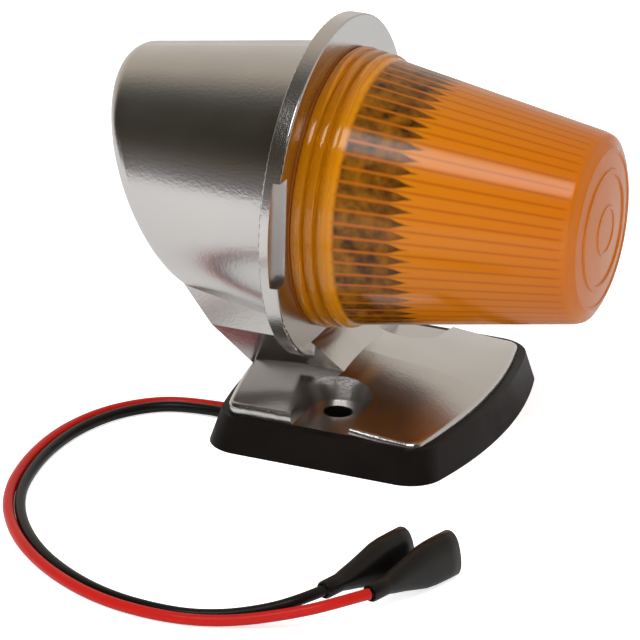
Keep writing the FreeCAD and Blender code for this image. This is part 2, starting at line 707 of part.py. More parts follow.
def build_lens():
    """Amber lens: ringed collar, cone with inner flutes, skirt and bayonet lugs."""
    body = new_body("lens", "axis_height")
    face = "flange_face"
    profile = [
        (f"{face} - skirt_depth", "0"),
        (f"{face} - skirt_depth", "skirt_radius"),
        (f"{face} + lens_gap", "skirt_radius"),
    ]
    for bead in range(3):
        start = f"{face} + lens_gap + {bead} * bead_pitch"
        top = f"collar_radius - {bead} * bead_step"
        profile.append((start if bead == 0 else f"{start} + 0.15", top))
        profile.append((f"{start} + bead_pitch - 0.75", top))
        if bead < 2:
            profile.append((f"{start} + bead_pitch - 0.55", f"{top} - bead_groove"))
            profile.append((f"{start} + bead_pitch - 0.1", f"{top} - bead_groove"))
    last = f"{face} + lens_gap + 3 * bead_pitch"
    profile += [
        (f"{last} - 0.5", "lens_root"),
        (f"{face} + lens_length", "lens_tip"),
        (f"{face} + lens_length", "0"),
    ]
    turn_solid(body, "Revolution", closed_outline(new_sketch(body, "XZ_Plane"), profile))
    tip = number("flange_face + lens_length")
    round_edges(body, "lens_round", lambda edge: along_axis(edge, tip))

    ring = new_sketch(body, "YZ_Plane", "flange_face + lens_length - 0.2")
    circle(ring, "0", "0", "rim_ring_radius")
    circle(ring, "0", "0", "rim_ring_radius - 1")
    extrude(body, "Pad", ring, "rim_ring_height + 0.2")

    bore = new_sketch(body, "YZ_Plane", f"{face} - skirt_depth")
    circle(bore, "0", "0", "skirt_radius - skirt_wall")
    extrude(body, "Pocket", bore, f"({last}) - ({face} - skirt_depth)", backwards=True)
    slope = "((lens_root - lens_tip) / (lens_length - lens_gap - 3 * bead_pitch))"
    near = fluted_section(body, f"{last} - 0.01", "lens_root - lens_wall")
    end = f"{face} + lens_length - lens_wall"
    far = fluted_section(body, end, f"lens_tip + {slope} * lens_wall - lens_wall")
    loft(body, "SubtractiveLoft", [near, far], ruled=True)

    lug = new_sketch(body, "XZ_Plane")
    rectangle(lug, f"{face} - skirt_depth", "skirt_radius - 0.5",
              f"{face} - skirt_depth + lug_width", "skirt_radius + lug_height")
    first = turn_solid(body, "Revolution", lug, "lug_angle", both=True)
    doc.recompute()
    pattern(body, first, "lug_count")
    body.Placement.Rotation = FreeCAD.Rotation(Vector(1, 0, 0), -number("lens_turn"))
    bind(body, "Placement.Rotation.Angle", "lens_turn")
    return keep("lens", body)


def fluted_section(body, place, radius):
    """Star-shaped section whose points are the valleys between the flutes."""
    sketch = new_sketch(body, "YZ_Plane", place)
    count = int(number("flute_count"))
    corners = []
    for tooth in range(2 * count):
        angle = 180.0 * tooth / count
        reach = f"({radius})" if tooth % 2 == 0 else f"({radius} - flute_height)"
        corners.append((f"{reach} * {math.cos(math.radians(angle)):.9f}",
                        f"{reach} * {math.sin(math.radians(angle)):.9f}"))
    return closed_outline(sketch, corners)


def build_seal():
    """Rubber ring in the flange's groove."""
    body = new_body("lens_seal", "axis_height")
    sketch = new_sketch(body, "YZ_Plane", "flange_face - seal_depth")
    circle(sketch, "0", "0", "seal_inner")
    circle(sketch, "0", "0", "seal_inner + seal_width")
    extrude(body, "Pad", sketch, "seal_depth + seal_stand")
    return keep("lens_seal", body)


def build_plate():
    """Strap across the two bosses, with the hole that the bayonet sleeve is soldered in."""
    body = new_body("holder_plate", "axis_height")
    back = "flange_face - boss_face"
    disc = circle(new_sketch(body, "YZ_Plane", back), "0", "0", "plate_disc")
    extrude(body, "Pad", disc, "plate_thick")
    arms = new_sketch(body, "YZ_Plane", back)
    rectangle(arms, "0 - plate_half", "0 - plate_height / 2", "plate_half", "plate_height / 2")
    extrude(body, "Pad", arms, "plate_thick")
    holes = new_sketch(body, "YZ_Plane", back)
    circle(holes, "0", "0", "shell_inner + shell_wall")
    for side in (-1, 1):
        circle(holes, f"{side} * boss_offset", "0", "screw_radius")
    extrude(body, "Pocket", holes, "plate_thick", backwards=True)
    return keep("holder_plate", body)


def build_shell():
    """Bayonet sleeve with two J slots and a lip at the back."""
    body = new_body("holder_shell", "axis_height")
    back = "flange_face + shell_front - shell_length"
    outer = circle(new_sketch(body, "YZ_Plane", f"{back} - shell_lip"), "0", "0", "shell_inner + shell_wall")
    extrude(body, "Pad", outer, "shell_length + shell_lip")
    bore = circle(new_sketch(body, "YZ_Plane", back), "0", "0", "shell_inner")
    extrude(body, "Pocket", bore, "shell_length + 1", backwards=True)
    mouth = circle(new_sketch(body, "YZ_Plane", f"{back} - shell_lip"), "0", "0", "shell_inner - 1.2")
    extrude(body, "Pocket", mouth, "shell_lip + 1", backwards=True)

    pin = "(flange_face - cap_back + pin_place)"
    turn_line = f"{pin} - bulb_push - slot_wide / 2"
    hook = new_sketch(body, "XZ_Plane")
    closed_outline(hook, [
        (turn_line, "0 - slot_wide / 2"),
        (f"{pin} + slot_wide / 2", "0 - slot_wide / 2"),
        (f"{pin} + slot_wide / 2", "slot_wide / 2"),
        (f"{turn_line} + slot_wide", "slot_wide / 2"),
        (f"{turn_line} + slot_wide", "slot_shift - slot_wide / 2"),
        ("flange_face + shell_front + 1", "slot_shift - slot_wide / 2"),
        ("flange_face + shell_front + 1", "slot_shift + slot_wide / 2"),
        (turn_line, "slot_shift + slot_wide / 2"),
    ])
    slot = extrude(body, "Pocket", hook, "shell_inner + shell_wall + 2")
    doc.recompute()
    pattern(body, slot, "2")
    return keep("holder_shell", body)


def build_contacts():
    """Carrier, plunger, spring and end disc inside the sleeve, with the live rivet and tab."""
    tip = "(flange_face - cap_back - bulb_base - pip_height - contact_gap)"
    seat = f"({tip} - plunger_head)"
    carrier_back = f"({seat} - carrier_thick)"
    keep("contact_plunger", round_bar("contact_plunger", "axis_height", [
        (seat, tip, "plunger_radius"),
        (f"{seat} - stem_length", seat, "stem_radius"),
    ]))
    carrier = round_bar("holder_carrier", "axis_height", [(carrier_back, seat, "shell_inner - carrier_play")])
    hole = circle(new_sketch(carrier, "YZ_Plane", carrier_back), "0", "0", "stem_radius")
    extrude(carrier, "Pocket", hole, "carrier_thick", backwards=True)
    keep("holder_carrier", carrier)

    disc_back = "(flange_face + shell_front - shell_length)"
    disc_front = f"({disc_back} + end_disc)"
    disc = round_bar("holder_end_disc", "axis_height", [(disc_back, disc_front, "shell_inner")])
    hole = circle(new_sketch(disc, "YZ_Plane", disc_back), "0", "0", "rivet_radius")
    extrude(disc, "Pocket", hole, "end_disc", backwards=True)
    keep("holder_end_disc", disc)

    tab_back = f"({disc_back} - shell_lip - tab_stand - tab_thick)"
    keep("live_rivet", round_bar("live_rivet", "axis_height", [
        (tab_back, disc_front, "rivet_radius"),
        (disc_front, f"{disc_front} + rivet_cap", "rivet_head"),
        (f"{tab_back} - rivet_cap", tab_back, "rivet_head"),
    ]))
    tab = new_body("live_tab", "axis_height")
    blade = new_sketch(tab, "YZ_Plane", tab_back)
    rectangle(blade, "0 - tab_width / 2", "0 - tab_reach", "tab_width / 2", "rivet_head + 0.6")
    extrude(tab, "Pad", blade, "tab_thick")
    spacer = new_sketch(tab, "YZ_Plane", f"{tab_back} + tab_thick")
    circle(spacer, "0", "0", "rivet_head + 0.5")
    extrude(tab, "Pad", spacer, "shell_lip + tab_stand")
    hole = circle(new_sketch(tab, "YZ_Plane", tab_back), "0", "0", "rivet_radius")
    extrude(tab, "Pocket", hole, "tab_thick + shell_lip + tab_stand", backwards=True)
    keep("live_tab", tab)
    build_spring(number(disc_front), number(carrier_back))


def build_spring(back, front):
    """Open coil between the end disc and the carrier."""
    wire = number("spring_wire")
    radius = number("spring_radius")
    turns = int(number("spring_turns"))
    length = front - back - 2 * wire
    steps = 12 * turns
    points = []
    for step in range(steps + 1):
        angle = 2 * math.pi * turns * step / steps
        points.append(Vector(back + wire + length * step / steps,
                             radius * math.cos(angle), radius * math.sin(angle)))
    path = Part.BSplineCurve()
    path.interpolate(points)
    ring = Part.Wire(Part.Circle(points[0], path.tangent(path.FirstParameter)[0], wire).toShape())
    spring = doc.addObject("Part::Feature", "contact_spring")
    spring.Shape = Part.Wire(path.toShape()).makePipeShell([ring], True, True)
    spring.Placement = FreeCAD.Placement(Vector(0, 0, number("axis_height")), FreeCAD.Rotation())
    keep("contact_spring", spring)


def build_fixings():
    """Screws, washers and the earth ring terminal on the strap."""
    front = "(flange_face - boss_face + plate_thick)"
    stacks = ((-1, f"({front} + ring_thick)"), (1, front))
    screws = new_pair("holder_screws")
    washers = new_pair("holder_washers")
    for (side, seat), screw, washer in zip(stacks, screws, washers):
        bind(screw, "Placement.Base.y", f"{side} * boss_offset")
        bind(washer, "Placement.Base.y", f"{side} * boss_offset")
        head = f"({seat} + washer_thick)"
        ring = new_sketch(washer, "YZ_Plane", seat)
        circle(ring, "0", "0", "head_radius")
        circle(ring, "0", "0", "screw_radius")
        extrude(washer, "Pad", ring, "washer_thick")
        shank = circle(new_sketch(screw, "YZ_Plane", f"{front} - plate_thick - screw_length"),
                       "0", "0", "screw_radius")
        extrude(screw, "Pad", shank, f"{head} - {front} + plate_thick + screw_length")
        dome = circle(new_sketch(screw, "YZ_Plane", head), "0", "0", "head_radius")
        extrude(screw, "Pad", dome, "head_height")
        slot = new_sketch(screw, "YZ_Plane", f"{head} + head_height")
        rectangle(slot, "0 - head_radius - 1", "-0.35", "head_radius + 1", "0.35")
        extrude(screw, "Pocket", slot, "head_height / 2")
    join_pair("holder_screws", screws)
    join_pair("holder_washers", washers)
    build_ring_terminal(front)


def new_pair(name):
    """Two equal bodies that share one node."""
    return [new_body(f"{name}_{side}", "axis_height") for side in ("near", "far")]


def join_pair(name, bodies):
    """One compound for a node that holds two equal pieces."""
    pair = doc.addObject("Part::Compound", name)
    pair.Links = bodies
    return keep(name, pair)


def build_ring_terminal(front):
    """Earth ring under one screw, with the crimp barrel below it."""
    body = new_body("ring_terminal_earth", "axis_height")
    bind(body, "Placement.Base.y", "0 - boss_offset")
    eye = circle(new_sketch(body, "YZ_Plane", front), "0", "0", "ring_radius")
    extrude(body, "Pad", eye, "ring_thick")
    tongue = new_sketch(body, "YZ_Plane", front)
    rectangle(tongue, "0 - barrel_radius", "0 - ring_drop - 0.5", "barrel_radius", "0")
    extrude(body, "Pad", tongue, "ring_thick")
    barrel = new_sketch(body, "XY_Plane", "0 - ring_drop - barrel_length")
    circle(barrel, f"{front} + ring_thick / 2", "0", "barrel_radius")
    extrude(body, "Pad", barrel, "barrel_length")
    hole = circle(new_sketch(body, "YZ_Plane", front), "0", "0", "screw_radius")
    extrude(body, "Pocket", hole, "ring_thick", backwards=True)
    bore = new_sketch(body, "XY_Plane", "0 - ring_drop - barrel_length")
    circle(bore, f"{front} + ring_thick / 2", "0", "wire_radius")
    extrude(body, "Pocket", bore, "barrel_length - 0.5", backwards=True)
    keep("ring_terminal_earth", body)


def build_receptacle():
    """Push-on receptacle on the live tab."""
    body = new_body("receptacle_live", "axis_height")
    middle = "(flange_face + shell_front - shell_length - shell_lip - tab_stand - tab_thick / 2)"
    box = new_sketch(body, "XY_Plane", "0 - crimp_top - crimp_length")
    rectangle(box, f"{middle} - crimp_thick / 2", "0 - crimp_width / 2",
              f"{middle} + crimp_thick / 2", "crimp_width / 2")
    extrude(body, "Pad", box, "crimp_length")
    barrel = new_sketch(body, "XY_Plane", "0 - crimp_top - crimp_length - barrel_length")
    circle(barrel, middle, "0", "barrel_radius")
    extrude(body, "Pad", barrel, "barrel_length")
    slot = new_sketch(body, "XY_Plane", "0 - tab_reach")
    rectangle(slot, f"{middle} - tab_thick / 2", "0 - tab_width / 2",
              f"{middle} + tab_thick / 2", "tab_width / 2")
    extrude(body, "Pocket", slot, "tab_reach", backwards=True)
    bore = new_sketch(body, "XY_Plane", "0 - crimp_top - crimp_length - barrel_length")
    circle(bore, middle, "0", "wire_radius")
    extrude(body, "Pocket", bore, "barrel_length - 0.5", backwards=True)
    return keep("receptacle_live", body)


def build_bulb():
    """Bayonet bulb: cap with pins, insulator and contact, glass, mount, posts and filament."""
    back = "(flange_face - cap_back)"
    front = f"({back} + cap_length)"
    cap = round_bar("bulb_cap", "axis_height", [(back, front, "cap_radius")])
    bore = circle(new_sketch(cap, "YZ_Plane", f"{back} + cap_wall"), "0", "0", "cap_radius - cap_wall")
    extrude(cap, "Pocket", bore, "cap_length", backwards=True)
    holes = circle(new_sketch(cap, "XZ_Plane"), f"{back} + pin_place", "0", "pin_radius")
    extrude(cap, "Pocket", holes, "3 * cap_radius", both=True)
    keep("bulb_cap", cap)

    pins = []
    for side in (-1, 1):
        pin = new_body(f"bulb_pins_{'near' if side < 0 else 'far'}", "axis_height")
        start = "cap_radius - cap_wall" if side > 0 else "0 - pin_reach"
        disc = circle(new_sketch(pin, "XZ_Plane", f"0 - ({start}) - (pin_reach - cap_radius + cap_wall)"),
                      f"{back} + pin_place", "0", "pin_radius")
        extrude(pin, "Pad", disc, "pin_reach - cap_radius + cap_wall")
        pins.append(pin)
    join_pair("bulb_pins", pins)

    keep("bulb_insulator", round_bar("bulb_insulator", "axis_height", [
        (f"{back} - bulb_base", back, "cap_radius - 1.6")]))
    keep("bulb_contact", round_bar("bulb_contact", "axis_height", [
        (f"{back} - bulb_base - pip_height", f"{back} - bulb_base", "pip_radius")]))
    build_glass(front)
    build_filament(front)


def build_glass(front):
    """Glass envelope, open at its neck."""
    body = new_body("bulb_glass", "axis_height")
    root = f"{front} - neck_depth"
    crown = f"{front} + glass_length"
    shoulder = f"{front} + glass_radius * 0.9"
    closed_outline(new_sketch(body, "XZ_Plane"), [
        (root, "neck_radius - glass_wall"),
        (f"{front} + 0.5", "neck_radius - glass_wall"),
        (shoulder, "glass_radius - glass_wall"),
        (f"{crown} - glass_radius", "glass_radius - glass_wall"),
        (f"{crown} - glass_wall", "0"),
        (crown, "0"),
        (f"{crown} - glass_radius", "glass_radius"),
        (shoulder, "glass_radius"),
        (f"{front} + 0.5", "neck_radius"),
        (root, "neck_radius"),
    ], {
        1: ("glass_radius * 1.6", 1),
        3: ("glass_radius - glass_wall", -1),
        5: ("glass_radius", 1),
        7: ("glass_radius * 1.6", -1),
    })
    turn_solid(body, "Revolution", body.Group[0])
    keep("bulb_glass", body)


def build_filament(front):
    """Glass mount, two posts and the coil between them."""
    keep("bulb_stem", round_bar("bulb_stem", "axis_height", [
        (f"{front} - neck_depth", f"{front} + stem_reach", "stem_glass"),
        (f"{front} - neck_depth", f"{front} - neck_depth + 1", "neck_radius - glass_wall"),
    ]))
    posts = []
    for side in (-1, 1):
        post = new_body(f"bulb_posts_{'near' if side < 0 else 'far'}", "axis_height")
        bind(post, "Placement.Base.y", f"{side} * (stem_glass + post_radius)")
        disc = circle(new_sketch(post, "YZ_Plane", f"{front} - neck_depth + 1"), "0", "0", "post_radius")
        extrude(post, "Pad", disc, "neck_depth - 1 + stem_reach + post_reach")
        posts.append(post)
    join_pair("bulb_posts", posts)
    coil = new_body("bulb_filament", "axis_height")
    disc = circle(new_sketch(coil, "XZ_Plane", "0 - stem_glass"), f"{front} + stem_reach + post_reach - 0.4",
                  "0", "filament_radius")
    extrude(coil, "Pad", disc, "2 * stem_glass")
    keep("bulb_filament", coil)


def lead_path(points):
    """Straight runs joined by tangent arcs; returns the wire and the arc radii."""
    spots = [Vector(*point) for point in points]
    edges = []
    radii = []
    start = spots[0]
    for index in range(1, len(spots) - 1):
        before = spots[index] - spots[index - 1]
        after = spots[index + 1] - spots[index]
        turn = before.getAngle(after)
        shorter = min(before.Length, after.Length)
        trim = 0.45 * shorter
        radii.append(trim / math.tan(turn / 2))
        into = spots[index] - before * (trim / before.Length)
        out = spots[index] + after * (trim / after.Length)
        reach = radii[-1] * (1 / math.cos(turn / 2) - 1)
        inward = (into + out) * 0.5 - spots[index]
        middle = spots[index] + inward * (reach / inward.Length)
        edges.append(Part.LineSegment(start, into).toShape())
        edges.append(Part.Arc(into, middle, out).toShape())
        start = out
    edges.append(Part.LineSegment(start, spots[-1]).toShape())
    return Part.Wire(edges), radii


def build_lead(name, points):
    """Round lead along a route."""
    path, radii = lead_path(points)
    radius = number("wire_radius")
    heading = Vector(*points[1]) - Vector(*points[0])
    ring = Part.Wire(Part.Circle(Vector(*points[0]), heading, radius).toShape())
    lead = doc.addObject("Part::Feature", name)
    lead.Shape = path.makePipeShell([ring], True, False)
    lead.Placement = FreeCAD.Placement()
    share = lead.Shape.Volume / (math.pi * radius * radius * path.Length)
    print(f"{name}: length {path.Length:.1f}, volume share {share:.4f}, "
          f"smallest radius {min(radii):.1f}, radii {[round(value, 1) for value in radii]}")
    return keep(name, lead)


def build_inside_leads():
    """Stretches of the two leads from the terminals down the duct to the gasket's slot."""
    height = number("axis_height")
    face = number("flange_face")
    duct = number("flange_face - duct_place")
    live = number("flange_face + shell_front - shell_length - shell_lip - tab_stand - tab_thick / 2")
    top = number("axis_height - crimp_top - crimp_length - barrel_length") + number("barrel_length - 0.5")
    red = [
        (live, 0.0, top),
        (live, 0.0, height - 15.2),
        (live + 4.2, 0.3, height - 20.2),
        (duct - 1.4, 1.5, height - 24.7),
        (duct - 1.4, 1.5, 6.2),
        (duct - 1.4, -3.2, 1.5),
        (duct - 1.4, -8.0, 1.4),
        (duct - 3.1, -12.6, 1.3),
        (duct - 6.3, -15.4, 1.3),
        RED_ROUTE[0],
    ]
    build_lead("lead_red_inside", red)
    side = -number("boss_offset")
    ring = number("flange_face - boss_face + plate_thick + ring_thick / 2")
    black = [
        (ring, side, height - number("ring_drop") - 0.5),
        (ring, side, height - 10.6),
        (ring + 0.2, side + 3.4, height - 16.2),
        (ring + 1.2, side + 9.0, height - 19.6),
        (duct + 0.1, -3.0, height - 23.2),
        (duct + 1.4, 1.5, height - 28.5),
        (duct + 1.4, 1.5, 6.2),
        (duct + 1.4, -3.2, 1.5),
        (duct + 1.4, -12.2, 1.4),
        (duct - 3.2, -18.1, 1.3),
        BLACK_ROUTE[0],
    ]
    build_lead("lead_black_inside", black)


def sleeve_frame(ends):
    """Placement of a sleeve: X from neck to mouth, rolled about its own axis."""
    (x_neck, y_neck), (x_mouth, y_mouth) = ends
    heading = math.degrees(math.atan2(y_mouth - y_neck, x_mouth - x_neck))
    roll = FreeCAD.Rotation(Vector(1, 0, 0), number("sleeve_roll"))
    turn = FreeCAD.Rotation(Vector(0, 0, 1), heading).multiply(roll)
    return FreeCAD.Placement(Vector(x_neck, y_neck, number("sleeve_lift")), turn)


def flat_section(body, place, wide, thick):
    """Flat oval section across a sleeve."""
    sketch = new_sketch(body, "YZ_Plane", place)
    side = f"(({wide}) - ({thick})) / 2"
    radius = f"({thick}) / 2"
    corners = [
        (f"0 - {side}", f"0 - {radius}"),
        (side, f"0 - {radius}"),
        (side, radius),
        (f"0 - {side}", radius),
    ]
    return closed_outline(sketch, corners, {1: (f"{radius} * 1.00001", 1), 3: (f"{radius} * 1.00001", 1)})


def build_sleeve(name, ends):
    """Soft sleeve: round neck that widens to a flat oval, hollow from its mouth."""
    body = doc.addObject("PartDesign::Body", name)
    flat = "sleeve_length - sleeve_flat"
    neck = "(neck_outer * 2)"
    outer = [
        flat_section(body, "0", f"{neck} + 0.1", neck),
        flat_section(body, "neck_length", f"{neck} + 0.1", neck),
        flat_section(body, flat, "sleeve_wide", "sleeve_thick"),
        flat_section(body, "sleeve_length", "sleeve_wide", "sleeve_thick"),
    ]
    loft(body, "AdditiveLoft", outer, ruled=True)
    wide = "sleeve_wide - 2 * sleeve_wall"
    thick = "sleeve_thick - 2 * sleeve_wall"
    mouth = [
        flat_section(body, f"{flat} - 1", wide, thick),
        flat_section(body, "sleeve_length + 1", wide, thick),
    ]
    loft(body, "SubtractiveLoft", mouth, ruled=True)
    body.Placement = sleeve_frame(ends)
    return keep(name, body)


def build_terminal(name, ends):
    """Female blade terminal inside a sleeve: a floor between two rolled edges."""
    body = doc.addObject("PartDesign::Body", name)
    mouth = "(sleeve_length - blade_inset)"
    block = flat_section(body, f"{mouth} - blade_length", "blade_width", "blade_thick")
    extrude(body, "Pad", block, "blade_length")
    gap = new_sketch(body, "YZ_Plane", mouth)
    rectangle(gap, "0 - blade_width / 2 + 0.4", "-0.45", "blade_width / 2 - 0.4", "0.45")
    extrude(body, "Pocket", gap, "blade_length - 1")
    open_top = new_sketch(body, "YZ_Plane", mouth)
    rectangle(open_top, "0 - blade_width / 2 + 1.9", "0.2", "blade_width / 2 - 1.9", "blade_thick")
    extrude(body, "Pocket", open_top, "blade_length - 1")
    body.Placement = sleeve_frame(ends)
    return keep(name, body)


def check_and_write():
    """Recompute, check every object and write one STEP file for each sub-part."""
    doc.recompute()
    for item in doc.Objects:
        faults = [state for state in item.State if state in ("Invalid", "Error")]
        if faults:
            raise RuntimeError(f"{item.Name} ({item.Label}) is {faults}")
    os.makedirs("parts", exist_ok=True)
    for name, item in PARTS.items():
        if item.Shape.isNull() or not item.Shape.isValid():
            raise RuntimeError(f"{name} has no valid shape")
        item.Shape.exportStep(f"parts/{name}.step")
        print(f"{name}: volume {item.Shape.Volume:.1f}, solids {len(item.Shape.Solids)}")


build_housing()
build_gasket()
build_lens()
build_seal()
build_plate()
build_shell()
build_contacts()
build_fixings()
build_receptacle()
build_bulb()
build_inside_leads()
build_lead("wire_red", RED_ROUTE)
build_lead("wire_black", BLACK_ROUTE)
build_sleeve("sleeve_red_wire", RED_SLEEVE)
build_sleeve("sleeve_black_wire", BLACK_SLEEVE)
build_terminal("terminal_red_wire", RED_SLEEVE)
build_terminal("terminal_black_wire", BLACK_SLEEVE)
check_and_write()
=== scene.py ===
"""Car side lamp on a pale studio floor: chrome casting, amber lens, rubber gasket and two leads.

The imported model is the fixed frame. Each sub-assembly is a class that builds its pieces and
dresses the solids that belong to it. Lengths are metres unless a name ends in _mm.
"""

from __future__ import annotations

import logging
import math
from dataclasses import dataclass, field
from enum import Enum

import bmesh
import bpy
from mathutils import Matrix, Vector

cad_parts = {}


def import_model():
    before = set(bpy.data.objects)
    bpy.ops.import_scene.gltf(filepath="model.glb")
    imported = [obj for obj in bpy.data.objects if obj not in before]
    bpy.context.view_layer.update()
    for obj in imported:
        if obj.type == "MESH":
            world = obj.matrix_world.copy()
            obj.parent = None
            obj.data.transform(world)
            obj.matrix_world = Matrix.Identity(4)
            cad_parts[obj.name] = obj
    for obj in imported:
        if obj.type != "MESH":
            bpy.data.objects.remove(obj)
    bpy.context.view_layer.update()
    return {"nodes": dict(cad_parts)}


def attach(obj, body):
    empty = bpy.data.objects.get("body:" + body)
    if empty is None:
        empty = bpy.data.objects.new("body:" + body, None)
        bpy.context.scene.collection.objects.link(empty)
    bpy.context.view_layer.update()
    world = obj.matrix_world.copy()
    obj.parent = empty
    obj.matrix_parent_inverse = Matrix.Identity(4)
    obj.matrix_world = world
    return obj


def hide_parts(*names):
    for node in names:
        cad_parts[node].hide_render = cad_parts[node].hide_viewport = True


LOG = logging.getLogger("side_lamp")
MM = 0.001

ROOT = "housing_body"
# What the lens's shape and its material share: X of the flange face, height of the axis and flutes.
LENS_FACE_MM = -8.3
LENS_AXIS_MM = 47.0
LENS_FLUTES = 60
# Range that most of a noise texture's values keep to.
NOISE_RANGE = (0.3, 0.7)
# The point that the studio's lamps are aimed at.
LAMP_MIDDLE = Vector((0.0, 0.0, 0.04))


def linear(hex_colour: str) -> tuple[float, float, float, float]:
    """Turn an sRGB hex colour into linear RGBA.

    Args:
        hex_colour: Colour such as "#C0C4C8".

    Returns:
        The linear red, green and blue, and an alpha of 1.
    """
    channels = []
    for start in (1, 3, 5):
        value = int(hex_colour[start:start + 2], 16) / 255
        channels.append(value / 12.92 if value <= 0.04045 else ((value + 0.055) / 1.055) ** 2.4)
    return channels[0], channels[1], channels[2], 1.0


def add_node(tree: bpy.types.NodeTree, kind: str, settings: dict | None = None,
             links: dict | None = None) -> bpy.types.Node:
    """Add a shader node with its settings and incoming links.

    Args:
        tree: Node tree that takes the node.
        kind: Blender's name of the node type.
        settings: Properties by name, and input values by socket name or number.
        links: Source sockets by the name or number of the input they feed.

    Returns:
        The new node.
    """
    node = tree.nodes.new(kind)
    for key, value in (settings or {}).items():
        if isinstance(key, str) and hasattr(node, key):
            setattr(node, key, value)
        else:
            node.inputs[key].default_value = value
    for key, source in (links or {}).items():
        tree.links.new(source, node.inputs[key])
    return node


def set_ramp(node: bpy.types.Node, stops: list[tuple[float, str]]) -> None:
    """Give a colour ramp its stops.

    Args:
        node: The colour ramp.
        stops: Places from 0 to 1, in order, with their sRGB hex colours.
    """
    ramp = node.color_ramp
    while len(ramp.elements) < len(stops):
        ramp.elements.new(0.5)
    for element, (position, colour) in zip(ramp.elements, stops):
        element.position = position
        element.color = linear(colour)


class Grain(Enum):
    """How a finish's fine pattern lies."""

    EVEN = "even"
    ALONG_X = "along_x"


@dataclass(frozen=True)
class Finish:
    """One real surface: what it is made of and how it was made.

    Args:
        name: Real name of the material and its surface.
        colour: sRGB hex colour.
        second: sRGB hex colour that it drifts to in patches.
        patch_mm: Size of those patches.
        metallic: 1 for a metal.
        roughness: Lowest and highest roughness.
        grain_mm: Spacing of the fine relief.
        relief_mm: Height of the fine relief.
        grain: How the relief lies.
        ior: Index of refraction.
        transmission: Share of light that passes.
        specular: Strength of the surface reflection; 0.5 is that of the plain IOR.
    """

    name: str
    colour: str
    second: str
    patch_mm: float = 12.0
    metallic: float = 0.0
    roughness: tuple[float, float] = (0.4, 0.5)
    grain_mm: float = 0.8
    relief_mm: float = 0.02
    grain: Grain = Grain.EVEN
    ior: float = 1.5
    transmission: float = 0.0
    specular: float = 0.5

    def material(self) -> bpy.types.Material:
        """Build the node material, or return it if it exists."""
        found = bpy.data.materials.get(self.name)
        if found is not None:
            return found
        made = bpy.data.materials.new(self.name)
        made.use_nodes = True
        tree = made.node_tree
        tree.nodes.clear()
        place = self._place(tree)
        patches = add_node(tree, "ShaderNodeTexNoise",
                           {"Scale": 1 / (self.patch_mm * MM), "Detail": 3.0}, {"Vector": place})
        tint = add_node(tree, "ShaderNodeMix",
                        {"data_type": "RGBA", 6: linear(self.colour), 7: linear(self.second)},
                        {0: patches.outputs["Fac"]})
        gloss = add_node(tree, "ShaderNodeMapRange",
                         {"From Min": NOISE_RANGE[0], "From Max": NOISE_RANGE[1],
                          "To Min": self.roughness[0], "To Max": self.roughness[1]},
                         {"Value": patches.outputs["Fac"]})
        fine = add_node(tree, "ShaderNodeTexNoise",
                        {"Scale": 1 / (self.grain_mm * MM), "Detail": 2.0}, {"Vector": place})
        bump = add_node(tree, "ShaderNodeBump", {"Strength": 1.0, "Distance": self.relief_mm * MM},
                        {"Height": fine.outputs["Fac"]})
        shader = add_node(tree, "ShaderNodeBsdfPrincipled",
                          {"Metallic": self.metallic, "IOR": self.ior,
                           "Transmission Weight": self.transmission,
                           "Specular IOR Level": self.specular},
                          {"Base Color": tint.outputs[2], "Roughness": gloss.outputs[0],
                           "Normal": bump.outputs[0]})
        add_node(tree, "ShaderNodeOutputMaterial", {}, {"Surface": shader.outputs[0]})
        return made

    def _place(self, tree: bpy.types.NodeTree) -> bpy.types.NodeSocket:
        """Return the coordinates that the pattern follows."""
        coordinates = add_node(tree, "ShaderNodeTexCoord")
        if self.grain is Grain.ALONG_X:
            stretched = add_node(tree, "ShaderNodeMapping", {"Scale": (0.08, 1.0, 1.0)},
                                 {"Vector": coordinates.outputs["Object"]})
            return stretched.outputs[0]
        return coordinates.outputs["Object"]


# Chrome over an unpolished zinc die casting: satin, with a fine grain that softens what it mirrors.
CHROME_PLATE = Finish("chrome plated zinc die casting", "#C9C5C0", "#BAB8B8", 22.0, 1.0, (0.18, 0.26),
                      0.6, 0.03)
# Moulded EPDM rubber: soft black with a dusty bloom, no mirror reflection.
EPDM_RUBBER = Finish("moulded epdm rubber", "#0A0705", "#100C09", 9.0, 0.0, (0.36, 0.48), 0.5, 0.02,
                     specular=0.15)
# Rubber of the lens seal, dull, next to the collar; its amber brown is painted glow, for the orange light
# that the collar throws there.
SEAL_RUBBER_PAINTED_GLOW = Finish("seal rubber with painted glow", "#8A4A0A", "#7A3F08", 6.0, 0.0, (0.35, 0.45), 0.6, 0.01,
                      specular=0.2)
# Zinc-plated pressed steel: pale grey, faintly cloudy.
ZINC_STEEL = Finish("zinc plated steel", "#B9B8B2", "#A5A6A8", 5.0, 1.0, (0.28, 0.42), 0.6, 0.01)
# Drawn spring steel: dark and slightly oily.
SPRING_STEEL = Finish("drawn spring steel", "#77777A", "#5E5F63", 2.0, 1.0, (0.25, 0.35), 0.4, 0.005)
# Tinned brass strip: soft white metal with a satin roll finish.
TINNED_BRASS = Finish("tinned brass strip", "#CFCBC0", "#BDB9AE", 2.5, 1.0, (0.22, 0.35), 0.5, 0.006,
                      Grain.ALONG_X)
# Nickel-plated brass tube: warm white metal.
NICKEL_BRASS = Finish("nickel plated brass", "#C9BFA8", "#B9AF9A", 6.0, 1.0, (0.18, 0.28), 0.8, 0.006)
# Bare turned brass: yellow metal with a soft shine.
TURNED_BRASS = Finish("turned brass", "#C9A256", "#B58C45", 2.0, 1.0, (0.22, 0.34), 0.3, 0.006)
# Vulcanised fibre board: red-brown, dull, fibrous.
FIBRE_BOARD = Finish("vulcanised fibre board", "#6B3726", "#572A1C", 1.8, 0.0, (0.55, 0.7), 0.25, 0.02)
